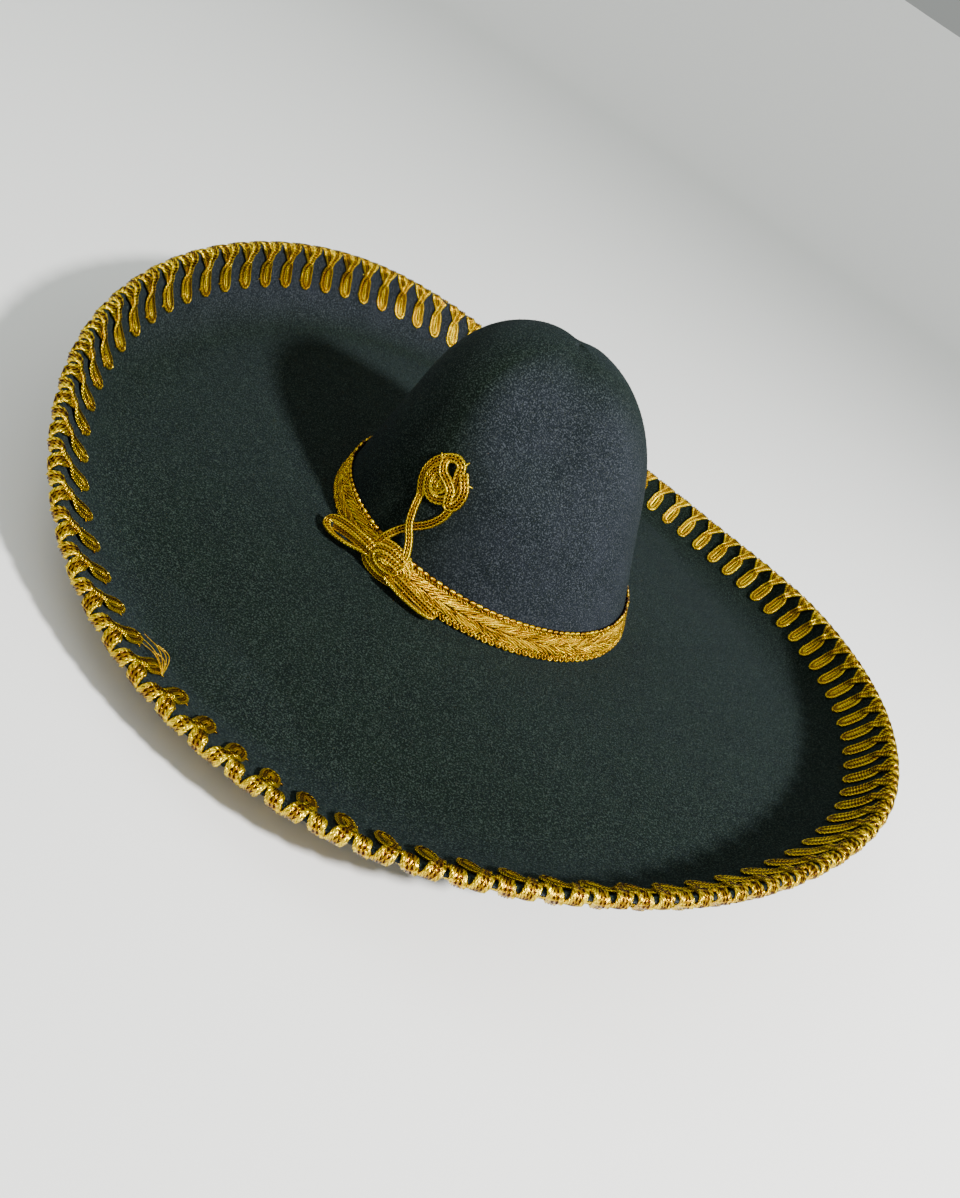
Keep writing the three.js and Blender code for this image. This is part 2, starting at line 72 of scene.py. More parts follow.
def smooth_step(share: np.ndarray) -> np.ndarray:
    """Eases shares from 0 to 1 with level ends.

    Args:
        share: Shares of the way, clipped to 0 to 1.

    Returns:
        The eased shares.
    """
    share = np.clip(share, 0.0, 1.0)
    return share * share * (3.0 - 2.0 * share)


def polar(radius: np.ndarray, turn: np.ndarray, height: np.ndarray) -> np.ndarray:
    """Points from their distance to the axis, turn and height.

    Args:
        radius: Distances from the axis.
        turn: Turns round +Z from +X, in degrees.
        height: Heights.

    Returns:
        An array whose last axis holds x, y and z.
    """
    radius, turn, height = np.broadcast_arrays(radius, turn, height)
    angle = np.radians(turn)
    return np.stack([radius * np.cos(angle), radius * np.sin(angle), height], axis=-1)


def unit(vectors: np.ndarray) -> np.ndarray:
    """Vectors brought to unit length."""
    return vectors / np.maximum(np.linalg.norm(vectors, axis=-1, keepdims=True), 1e-9)


def spline(points: Sequence[Sequence[float]], step: float) -> np.ndarray:
    """Evenly spaced rows on a smooth curve through the given rows.

    Args:
        points: Rows of a chosen path. The first three columns are a place, and the rest go along.
        step: Distance between the rows that come back.

    Returns:
        The rows, with as many columns as the points have.
    """
    rows = np.asarray(points, dtype=float)
    padded = np.vstack([2 * rows[0] - rows[1], rows, 2 * rows[-1] - rows[-2]])
    fine = []
    for index in range(len(rows) - 1):
        a, b, c, d = padded[index : index + 4]
        for t in np.linspace(0.0, 1.0, 24, endpoint=False):
            bend = 2 * a - 5 * b + 4 * c - d + t * (3 * (b - c) + d - a)
            fine.append(b + 0.5 * t * (c - a + t * bend))
    fine.append(rows[-1])
    line = np.array(fine)
    lengths = np.concatenate([[0.0], np.cumsum(np.linalg.norm(np.diff(line[:, :3], axis=0), axis=1))])
    count = max(int(round(lengths[-1] / step)), 4)
    wanted = np.linspace(0.0, lengths[-1], count + 1)
    return np.stack([np.interp(wanted, lengths, column) for column in line.T], axis=1)


class BrimSection(NamedTuple):
    """One section of the brim, as shares of the form's brim width, saddle rise and curl slope."""

    width: float
    fold: float
    slope: float


@dataclass
class HatForm:
    """The felt's shape, in millimetres from the middle of the crown's foot."""

    head_radius: float = 95.0
    head_oval: float = 0.045
    head_oval_turn: float = 26.0
    felt: float = 2.6
    seam_gap: float = 0.3
    crown_height: float = 137.5
    side_height: float = 80.0
    taper_angle: float = 17.7
    crown_lean: float = 19.0
    dent_depth: float = 11.0
    dent_half_turn: float = 50.0
    dent_half_height: float = 42.0
    dent_turns: tuple[float, ...] = (-76.0, 104.0)
    dent_rise: float = 104.0
    brim_width: float = 181.0
    curl_width: float = 74.0
    curl_slope: float = 64.0
    saddle_rise: float = 17.0
    curl_steps: int = 48
    # Level past which normals are read from just below it, because turns run together at the apex
    last_level: float = 1.97
    # Sections at even turns round the hat, from +X
    sections: tuple[BrimSection, ...] = (
        BrimSection(width=1.01, fold=0.42, slope=1.10),
        BrimSection(width=1.05, fold=-0.35, slope=1.11),
        BrimSection(width=1.06, fold=-1.00, slope=0.79),
        BrimSection(width=1.025, fold=-0.70, slope=0.64),
        BrimSection(width=0.99, fold=0.25, slope=1.08),
        BrimSection(width=0.95, fold=0.67, slope=1.49),
        BrimSection(width=0.92, fold=0.44, slope=1.43),
        BrimSection(width=0.92, fold=-0.21, slope=1.14),
        BrimSection(width=0.93, fold=-0.96, slope=0.74),
        BrimSection(width=0.967, fold=-0.79, slope=0.66),
        BrimSection(width=1.015, fold=0.24, slope=0.90),
        BrimSection(width=1.015, fold=0.76, slope=1.06),
    )
    middle: np.ndarray = field(init=False)
    ground: float = field(init=False)

    def __post_init__(self) -> None:
        """Finds the crown's foot in the frame, and the height of the ground below it."""
        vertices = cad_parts["crown"].data.vertices
        solid = np.array([vertex.co for vertex in vertices]) / MM
        foot = solid[solid[:, 2] < solid[:, 2].min() + self.seam_gap]
        centre = (foot.min(axis=0) + foot.max(axis=0)) / 2
        self.middle = centre - np.array([0.0, 0.0, self.seam_gap])
        self.ground = -self.middle[2]

    def to_frame(self, points: np.ndarray) -> np.ndarray:
        """Points of the form in the frame, in metres."""
        return (points + self.middle) * MM

    def foot_radius(self, turn: np.ndarray) -> np.ndarray:
        """Radius of the crown's outside at its foot."""
        return self.head_radius * (1 + self.head_oval * np.cos(2 * np.radians(turn - self.head_oval_turn)))

    def profile(self, level: np.ndarray) -> tuple[np.ndarray, np.ndarray]:
        """The crown's profile: a straight tapering side, then a dome in line with it.

        Args:
            level: 0 at the foot, 1 at the top of the side, 2 at the apex.

        Returns:
            Shares of the foot's radius, and heights.
        """
        taper = math.tan(math.radians(self.taper_angle)) / self.head_radius
        side = 1 - taper * self.side_height
        corner = 1 - taper * self.crown_height
        low = np.clip(level, 0.0, 1.0)
        t = np.clip(level - 1.0, 0.0, 1.0)
        dome_share = side * (1 - t) ** 2 + 2 * corner * t * (1 - t)
        dome_height = self.side_height * (1 - t) ** 2 + self.crown_height * (1 - (1 - t) ** 2)
        share = np.where(level < 1.0, 1 + (side - 1) * low, dome_share)
        height = np.where(level < 1.0, self.side_height * low, dome_height)
        return share, height

    def level_at(self, height: np.ndarray) -> np.ndarray:
        """Levels at which the profile reaches heights."""
        levels = np.linspace(0.0, 2.0, 800)
        return np.interp(height, self.profile(levels)[1], levels)

    def plain_crown(self, turn: np.ndarray, level: np.ndarray) -> np.ndarray:
        """The crown's outside before it is dented."""
        share, height = self.profile(level)
        points = polar(self.foot_radius(turn) * share, turn, height)
        points[..., 0] -= self.crown_lean * points[..., 2] / self.crown_height
        return points

    def dent(self, turn: np.ndarray, height: np.ndarray) -> np.ndarray:
        """How far the crown is pressed in."""

        def bump(distance: np.ndarray) -> np.ndarray:
            """1 in the middle, 0 from one half width on."""
            return (1 - np.minimum(np.abs(distance), 1.0) ** 2) ** 2

        tall = bump((height - self.dent_rise) / self.dent_half_height)
        away = [np.mod(turn - dent + 180.0, 360.0) - 180.0 for dent in self.dent_turns]
        wide = np.maximum.reduce([bump(distance / self.dent_half_turn) for distance in away])
        return self.dent_depth * tall * wide

    @staticmethod
    def normals(surface, u: np.ndarray, v: np.ndarray, step_u: float, step_v: float) -> np.ndarray:
        """Unit normals of a surface given by two parameters, by small differences.

        Args:
            surface: Function of u and v that gives points.
            u: First parameters.
            v: Second parameters.
            step_u: Half width of the difference along u.
            step_v: Half width of the difference along v.

        Returns:
            The normals.
        """
        along_u = surface(u + step_u, v) - surface(u - step_u, v)
        along_v = surface(u, v + step_v) - surface(u, v - step_v)
        return unit(np.cross(along_u, along_v))

    def crown_normals(self, surface, turn: np.ndarray, level: np.ndarray) -> np.ndarray:
        """Normals of a surface of the crown, given by turn and level."""
        return self.normals(surface, turn, np.minimum(level, self.last_level), 0.5, 0.02)

    def dented_crown(self, turn: np.ndarray, level: np.ndarray) -> np.ndarray:
        """The crown's outside with its dents."""
        base = self.plain_crown(turn, level)
        outward = self.crown_normals(self.plain_crown, turn, level)
        return base - outward * self.dent(turn, base[..., 2])[..., None]

    def crown(self, turn: np.ndarray, level: np.ndarray, lift: np.ndarray) -> np.ndarray:
        """Points lifted off the crown's outside along its normal."""
        turn, level, lift = np.broadcast_arrays(*map(np.asarray, (turn, level, lift)))
        normal = self.crown_normals(self.dented_crown, turn, level)
        return self.dented_crown(turn, level) + normal * lift[..., None]

    def on_crown(self, turn: np.ndarray, height: np.ndarray, lift: np.ndarray) -> np.ndarray:
        """The same, with heights in place of levels."""
        return self.crown(turn, self.level_at(height), lift)

    def beside_crown(self, turn: np.ndarray, height: np.ndarray, off: np.ndarray) -> np.ndarray:
        """Points that stand off the crown's foot."""
        return polar(self.foot_radius(np.asarray(turn)) + off, turn, height)

    def section_at(self, turn: np.ndarray) -> np.ndarray:
        """Width, fold and slope at turns, on a smooth closed curve through the sections."""
        table = np.array(self.sections)
        place = np.mod(turn, 360.0) / 360.0 * len(table)
        row = np.floor(place).astype(int)
        t = (place - row)[..., None]
        a, b, c, d = (table[(row + offset) % len(table)] for offset in (-1, 0, 1, 2))
        bend = 2 * a - 5 * b + 4 * c - d + t * (3 * (b - c) + d - a)
        return b + 0.5 * t * (c - a + t * bend)

    def brim(self, turn: np.ndarray, back: np.ndarray, lift: np.ndarray) -> np.ndarray:
        """Points of the brim, settled on the ground.

        Args:
            turn: Turns, in degrees.
            back: Distances from the rim along the felt. Below zero they lie past the rim.
            lift: Heights off the upper face, along its normal.

        Returns:
            The points.
        """
        turn, back, lift = np.broadcast_arrays(*(np.asarray(a, dtype=float) for a in (turn, back, lift)))
        width, fold, slope = np.moveaxis(self.section_at(turn), -1, 0)
        straight = self.brim_width * width - self.curl_width
        start = np.arcsin(self.saddle_rise * fold / straight)
        end = np.radians(self.curl_slope * slope)
        along = self.curl_width - back
        share = (np.arange(self.curl_steps) + 0.5) / self.curl_steps
        slopes = start[..., None] + (end - start)[..., None] * smooth_step(share)
        step = self.curl_width / self.curl_steps
        blank = np.zeros((*turn.shape, 1))
        out = np.concatenate([blank, np.cumsum(step * np.cos(slopes), axis=-1)], axis=-1)
        up = np.concatenate([blank, np.cumsum(step * np.sin(slopes), axis=-1)], axis=-1)
        place = np.maximum(along, 0.0) / step
        index = np.minimum(place.astype(int), self.curl_steps - 1)[..., None]
        t = place - index[..., 0]

        def between(values: np.ndarray) -> np.ndarray:
            """Values at the place, between two steps of the curl."""
            low = np.take_along_axis(values, index, axis=-1)[..., 0]
            high = np.take_along_axis(values, index + 1, axis=-1)[..., 0]
            return low + (high - low) * t

        flat = straight + np.minimum(along, 0.0)
        radius = self.foot_radius(turn) + np.maximum(flat, 0.0) * np.cos(start) + between(out)
        height = np.maximum(flat, 0.0) * np.sin(start) + between(up)
        here = start + (end - start) * smooth_step(along / self.curl_width)
        settle = np.maximum(0.0, self.ground - (height - self.felt * np.cos(here)))
        return polar(radius - lift * np.sin(here), turn, height + lift * np.cos(here) + settle)

    def brim_width_at(self, turn: np.ndarray) -> np.ndarray:
        """Width of the brim along the felt."""
        return self.brim_width * self.section_at(turn)[..., 0]

    def rim_turns(self, lengths: np.ndarray, start_turn: float) -> np.ndarray:
        """Turns at lengths along the rim.

        Args:
            lengths: Shares of the whole rim, counted from the start.
            start_turn: The turn that the lengths start from.

        Returns:
            The turns, in degrees.
        """
        turns = np.linspace(0.0, 360.0, 1441)
        rim = self.brim(turns, 0.0, 0.0)
        steps = np.linalg.norm(np.diff(rim, axis=0), axis=1)
        run = np.concatenate([[0.0], np.cumsum(steps)]) / steps.sum()
        start = np.interp(start_turn, turns, run)
        wanted = start + lengths
        return np.interp(np.mod(wanted, 1.0), run, turns) + 360.0 * np.floor(wanted)

    def rim_length(self) -> float:
        """Length of the rim."""
        rim = self.brim(np.linspace(0.0, 360.0, 1441), 0.0, 0.0)
        return float(np.linalg.norm(np.diff(rim, axis=0), axis=1).sum())


class Bench:
    """Adds nodes to a tree and joins them, so that a formula reads in order."""

    def __init__(self, tree: bpy.types.NodeTree) -> None:
        """Args:
        tree: The tree that the nodes go into.
        """
        self.tree = tree

    def add(self, kind: str, inputs: dict | None = None, **settings) -> bpy.types.Node:
        """Adds one node.

        Args:
            kind: The node's type.
            inputs: Input names with their values or the sockets that feed them.
            **settings: The node's own settings.

        Returns:
            The node.
        """
        node = self.tree.nodes.new(kind)
        for key, value in settings.items():
            setattr(node, key, value)
        for key, value in (inputs or {}).items():
            self.feed(node.inputs[key], value)
        return node

    def feed(self, socket: bpy.types.NodeSocket, value) -> None:
        """Gives a socket its value, or links it to the socket that makes it."""
        if isinstance(value, bpy.types.NodeSocket):
            self.tree.links.new(value, socket)
        else:
            socket.default_value = value

    def math(self, operation: str, *values) -> bpy.types.NodeSocket:
        """One sum of the given values."""
        node = self.add("ShaderNodeMath", operation=operation)
        for socket, value in zip(node.inputs, values):
            self.feed(socket, value)
        return node.outputs[0]

    def product(self, *values) -> bpy.types.NodeSocket:
        """All the values multiplied."""
        result = values[0]
        for value in values[1:]:
            result = self.math("MULTIPLY", result, value)
        return result

    def total(self, *values) -> bpy.types.NodeSocket:
        """All the values added."""
        result = values[0]
        for value in values[1:]:
            result = self.math("ADD", result, value)
        return result

    def zigzag(self, value, period: float) -> bpy.types.NodeSocket:
        """A wave of straight lines between 0 and 1."""
        return self.math("DIVIDE", self.math("PINGPONG", value, period / 2), period / 2)

    def ramp(self, value, low: float, high: float) -> bpy.types.NodeSocket:
        """Rises from 0 to 1 between two values."""
        limits = {"Value": value, "From Min": low, "From Max": high}
        return self.add("ShaderNodeMapRange", limits).outputs[0]

    def read(self, name: str) -> bpy.types.NodeSocket:
        """Reads a number that the trees left on the mesh."""
        return self.add("ShaderNodeAttribute", attribute_name=name).outputs["Fac"]

    def grain(self, where, scale: float, detail: float = 2.0, roughness: float = 0.5) -> bpy.types.NodeSocket:
        """A noise over the piece, with its scale in repeats per metre."""
        inputs = {"Vector": where, "Scale": scale, "Detail": detail, "Roughness": roughness}
        return self.add("ShaderNodeTexNoise", inputs).outputs[0]

    def blend(self, share, first, second, way: str = "MIX") -> bpy.types.NodeSocket:
        """The first colour with a share of the second mixed or multiplied in."""
        inputs = {0: share, 6: first, 7: second}
        return self.add("ShaderNodeMix", inputs, data_type="RGBA", blend_type=way).outputs[2]


class GeometryTree(Bench):
    """A Geometry Nodes tree with named inputs, which ends in Realize Instances and Set Material."""

    KINDS = {float: "NodeSocketFloat", int: "NodeSocketInt"}

    def __init__(self, name: str, sizes: dict[str, float | int]) -> None:
        """Args:
        name: The tree's name.
        sizes: Input names with their default values.
        """
        super().__init__(bpy.data.node_groups.new(name, "GeometryNodeTree"))
        face = self.tree.interface
        face.new_socket("Geometry", in_out="INPUT", socket_type="NodeSocketGeometry")
        for label, value in sizes.items():
            socket = face.new_socket(label, in_out="INPUT", socket_type=self.KINDS[type(value)])
            socket.default_value = value
        face.new_socket("Material", in_out="INPUT", socket_type="NodeSocketMaterial")
        face.new_socket("Geometry", in_out="OUTPUT", socket_type="NodeSocketGeometry")
        self.start = self.add("NodeGroupInput")

    def size(self, label: str) -> bpy.types.NodeSocket:
        """The socket of a named input."""
        return self.start.outputs[label]

    def attribute(self, name: str, kind: str = "FLOAT") -> bpy.types.NodeSocket:
        """Reads a named attribute."""
        node = self.add("GeometryNodeInputNamedAttribute", {"Name": name}, data_type=kind)
        return node.outputs["Attribute"]

    def store(self, geometry, name: str, value) -> bpy.types.NodeSocket:
        """Writes a named number on the points of a geometry."""
        inputs = {"Geometry": geometry, "Name": name, "Value": value}
        node = self.add("GeometryNodeStoreNamedAttribute", inputs, data_type="FLOAT", domain="POINT")
        return node.outputs["Geometry"]

    def end(self, geometry) -> None:
        """Closes the tree with Realize Instances and Set Material."""
        real = self.add("GeometryNodeRealizeInstances", {"Geometry": geometry}).outputs["Geometry"]
        dressed = self.add("GeometryNodeSetMaterial", {"Geometry": real, "Material": self.size("Material")})
        self.tree.links.new(dressed.outputs["Geometry"], self.add("NodeGroupOutput").inputs["Geometry"])

    def apply(self, carrier: bpy.types.Object, name: str, material, **sizes: float) -> bpy.types.Object:
        """Runs the tree on a carrier and keeps the result as a plain mesh.

        Args:
            carrier: The object whose mesh is the tree's geometry. It is removed.
            name: Name of the piece that comes out.
            material: The material that the tree sets.
            **sizes: Values of the tree's inputs, with underscores for spaces.

        Returns:
            The new object.
        """
        modifier = carrier.modifiers.new(name, "NODES")
        modifier.node_group = self.tree
        items = self.tree.interface.items_tree
        sockets = {item.name: item.identifier for item in items if item.in_out == "INPUT"}
        modifier[sockets["Material"]] = material
        for label, value in sizes.items():
            modifier[sockets[label.replace("_", " ")]] = value
        graph = bpy.context.evaluated_depsgraph_get()
        mesh = bpy.data.meshes.new_from_object(carrier.evaluated_get(graph), depsgraph=graph)
        carrier.modifiers.remove(modifier)
        bpy.data.objects.remove(carrier)
        mesh.name = name
        mesh.materials.clear()
        mesh.materials.append(material)
        mesh.polygons.foreach_set("material_index", [0] * len(mesh.polygons))
        mesh.shade_smooth()
        piece = bpy.data.objects.new(name, mesh)
        bpy.context.scene.collection.objects.link(piece)
        return piece


class CordTree(GeometryTree):
    """Sweeps a flat braided cord of ribs along a path whose points know which way the cord faces."""

    def __init__(self) -> None:
        """Builds the tree."""
        sizes = {
            "Width": 4.7 * MM,
            "Thickness": 1.5 * MM,
            "Ribs": 3,
            "Rib Steps": 2,
            "Stitch": 2.0 * MM,
            "Stitch Depth": 0.0,
        }
        super().__init__("flat_cord", sizes)
        rail = self.add("GeometryNodeMeshToCurve", {"Mesh": self.start.outputs["Geometry"]}).outputs["Curve"]
        facing = self.attribute("facing", "FLOAT_VECTOR")
        turned = {"Curve": rail, "Normal": facing}
        rail = self.add("GeometryNodeSetCurveNormal", turned, mode="FREE").outputs["Curve"]
        length = self.add("GeometryNodeSplineParameter").outputs["Length"]
        rail = self.store(rail, "along", length)
        sweep = {
            "Curve": rail,
            "Profile Curve": self.profile(),
            "Scale": self.attribute("swell"),
            "Fill Caps": True,
        }
        body = self.add("GeometryNodeCurveToMesh", sweep).outputs["Mesh"]
        self.end(self.stitched(body, facing))

    def profile(self) -> bpy.types.NodeSocket:
        """The cord's section: ribs above, nearly flat below."""
        ribs = self.size("Ribs")
        steps = self.product(ribs, self.size("Rib Steps"))
        count = self.math("ADD", steps, 4.0)
        line = self.add("GeometryNodeMeshLine", {"Count": count}).outputs["Mesh"]
        curve = self.add("GeometryNodeMeshToCurve", {"Mesh": line}).outputs["Curve"]
        ring = {"Geometry": curve, "Cyclic": True}
        curve = self.add("GeometryNodeSetSplineCyclic", ring).outputs["Geometry"]
        index = self.add("GeometryNodeInputIndex").outputs["Index"]
        above = self.math("LESS_THAN", index, self.math("ADD", steps, 0.5))
        across_above = self.math("SUBTRACT", self.product(2.0, self.math("DIVIDE", index, steps)), 1.0)
        later = self.math("SUBTRACT", index, self.math("ADD", steps, 1.0))
        across_below = self.math("SUBTRACT", 0.72, self.product(0.72, later))
        across = self.mix(above, across_below, across_above)
        arch = self.math("SINE", self.product(math.pi / 2, ribs, self.math("ADD", across_above, 1.0)))
        rib = self.math("POWER", self.math("ABSOLUTE", arch), 0.7)
        fall = self.math("POWER", self.math("ABSOLUTE", across), 6.0)
        edge = self.math("SUBTRACT", 1.0, self.product(0.25, fall))
        high = self.product(edge, self.total(0.62, self.product(0.38, rib)))
        up = self.mix(above, -0.1, high)
        x = self.product(self.math("SUBTRACT", up, 0.5), self.size("Thickness"))
        y = self.product(across, 0.5, self.size("Width"))
        place = self.add("ShaderNodeCombineXYZ", {"X": x, "Y": y}).outputs["Vector"]
        curve = self.store(curve, "across", across)
        curve = self.store(curve, "above", above)
        return self.add("GeometryNodeSetPosition", {"Geometry": curve, "Position": place}).outputs["Geometry"]

    def mix(self, share, low, high) -> bpy.types.NodeSocket:
        """A number between two others."""
        return self.total(low, self.product(share, self.math("SUBTRACT", high, low)))

    def stitched(self, body, facing) -> bpy.types.NodeSocket:
        """Raises the plait's stitches on the cord's upper side."""
        bend = self.zigzag(self.product(self.attribute("across"), self.size("Ribs")), 2.0)
        run = self.math("DIVIDE", self.attribute("along"), self.size("Stitch"))
        wave = self.math("SINE", self.product(2 * math.pi, self.math("ADD", run, self.product(0.7, bend))))
        rise = self.product(wave, 0.5, self.size("Stitch Depth"), self.attribute("above"))
        move = self.add("ShaderNodeVectorMath", {0: facing, "Scale": rise}, operation="SCALE").outputs[0]
        return self.add("GeometryNodeSetPosition", {"Geometry": body, "Offset": move}).outputs["Geometry"]


class StitchTree(GeometryTree):
    """Sets one lens-shaped stitch on each point of the carrier, along the point's own directions."""

    def __init__(self) -> None:
        """Builds the tree."""
        sizes = {
            "Length": 8.0 * MM,
            "Width": 1.6 * MM,
            "Height": 1.2 * MM,
            "Tilt": 0.05,
            "Spread": 0.12,
            "Segments": 6,
            "Rings": 5,
            "Seed": 1,
        }
        super().__init__("stitches", sizes)
        counts = {"Segments": self.size("Segments"), "Rings": self.size("Rings")}
        ball = self.add("GeometryNodeMeshUVSphere", counts)
        stitch = self.shaped(ball.outputs["Mesh"])
        turning = {
            "Primary Axis": self.attribute("facing", "FLOAT_VECTOR"),
            "Secondary Axis": self.attribute("heading", "FLOAT_VECTOR"),
        }
        turned = self.add("FunctionNodeAxesToRotation", turning, primary_axis="Z", secondary_axis="X")
        points = {
            "Points": self.start.outputs["Geometry"],
            "Instance": stitch,
            "Rotation": self.jittered(turned.outputs["Rotation"]),
            "Scale": self.scatter(),
        }
        laid = self.add("GeometryNodeInstanceOnPoints", points).outputs["Instances"]
        shade = {2: 0.0, 3: 1.0, "Seed": self.math("ADD", self.size("Seed"), 2.0)}
        value = self.add("FunctionNodeRandomValue", shade, data_type="FLOAT").outputs[1]
        inputs = {"Geometry": laid, "Name": "shade", "Value": value}
        laid = self.add("GeometryNodeStoreNamedAttribute", inputs, data_type="FLOAT", domain="INSTANCE")
        self.end(laid.outputs["Geometry"])

    def shaped(self, ball) -> bpy.types.NodeSocket:
        """Stretches the ball to the stitch's size, and marks its length and girth on it."""
        place = self.add("GeometryNodeInputPosition").outputs["Position"]
        x, y, z = self.add("ShaderNodeSeparateXYZ", {"Vector": place}).outputs
        ball = self.store(ball, "along", self.product(x, 0.5, self.size("Length")))
        ball = self.store(ball, "across", y)
        ball = self.store(ball, "above", z)
        size = {
            "X": self.product(0.5, self.size("Length")),
            "Y": self.product(0.5, self.size("Width")),
            "Z": self.product(0.5, self.size("Height")),
        }
        scale = self.add("ShaderNodeCombineXYZ", size).outputs["Vector"]
        return self.add("GeometryNodeTransform", {"Geometry": ball, "Scale": scale}).outputs["Geometry"]

    def jittered(self, rotation) -> bpy.types.NodeSocket:
        """Turns each stitch a little in the plane of the band."""
        tilt = self.size("Tilt")
        limits = {2: self.product(-1.0, tilt), 3: tilt, "Seed": self.size("Seed")}
        angle = self.add("FunctionNodeRandomValue", limits, data_type="FLOAT").outputs[1]
        turn = self.add("FunctionNodeAxisAngleToRotation", {"Axis": (0.0, 0.0, 1.0), "Angle": angle})
        inputs = {"Rotation": rotation, "Rotate By": turn.outputs["Rotation"]}
        return self.add("FunctionNodeRotateRotation", inputs, rotation_space="LOCAL").outputs["Rotation"]

    def scatter(self) -> bpy.types.NodeSocket:
        """Makes each stitch a little longer or shorter."""
        spread = self.size("Spread")
        seed = self.math("ADD", self.size("Seed"), 1.0)
        limits = {2: self.math("SUBTRACT", 1.0, spread), 3: self.math("ADD", 1.0, spread), "Seed": seed}
        return self.add("FunctionNodeRandomValue", limits, data_type="FLOAT").outputs[1]


class FuzzTree(GeometryTree):
    """Scatters short loose fibres, each one thin triangle, over a felt surface."""

    def __init__(self) -> None:
        """Builds the tree."""
        sizes = {
            "Density": 200000.0,
            "Length": 1.3 * MM,
            "Width": 0.11 * MM,
            "Lowest": 0.05,
            "Highest": 0.55,
            "Seed": 3,
        }
        super().__init__("felt_fuzz", sizes)
        ground = {
            "Mesh": self.start.outputs["Geometry"],
            "Density": self.size("Density"),
            "Seed": self.size("Seed"),
        }
        spread = self.add("GeometryNodeDistributePointsOnFaces", ground, distribute_method="RANDOM")
        low = self.product(-1.0, self.size("Highest"))
        high = self.product(-1.0, self.size("Lowest"))
        limits = {
            0: self.add("ShaderNodeCombineXYZ", {"Y": low}).outputs["Vector"],
            1: self.add("ShaderNodeCombineXYZ", {"Y": high, "Z": 2 * math.pi}).outputs["Vector"],
            "Seed": self.math("ADD", self.size("Seed"), 1.0),
        }
        angles = self.add("FunctionNodeRandomValue", limits, data_type="FLOAT_VECTOR").outputs[0]
        lean = self.add("FunctionNodeEulerToRotation", {"Euler": angles}).outputs["Rotation"]
        turning = {"Rotation": spread.outputs["Rotation"], "Rotate By": lean}
        turned = self.add("FunctionNodeRotateRotation", turning, rotation_space="LOCAL").outputs["Rotation"]
        limits = {2: 0.5, 3: 1.5, "Seed": self.math("ADD", self.size("Seed"), 2.0)}
        scale = self.add("FunctionNodeRandomValue", limits, data_type="FLOAT").outputs[1]
        points = {
            "Points": spread.outputs["Points"],
            "Instance": self.fibre(),
            "Rotation": turned,
            "Scale": scale,
        }
        self.end(self.add("GeometryNodeInstanceOnPoints", points).outputs["Instances"])

    def fibre(self) -> bpy.types.NodeSocket:
        """One triangle that starts at its point and runs along X."""
        flat = self.add("GeometryNodeMeshCircle", {"Vertices": 3, "Radius": 1.0}, fill_type="NGON")
        length = self.math("DIVIDE", self.size("Length"), 1.5)
        shift = self.add("ShaderNodeCombineXYZ", {"X": self.product(0.5, length)})
        scale = self.add("ShaderNodeCombineXYZ", {"X": length, "Y": self.size("Width"), "Z": 1.0})
        place = {
            "Geometry": flat.outputs["Mesh"],
            "Translation": shift.outputs["Vector"],
            "Scale": scale.outputs["Vector"],
        }
        return self.add("GeometryNodeTransform", place).outputs["Geometry"]


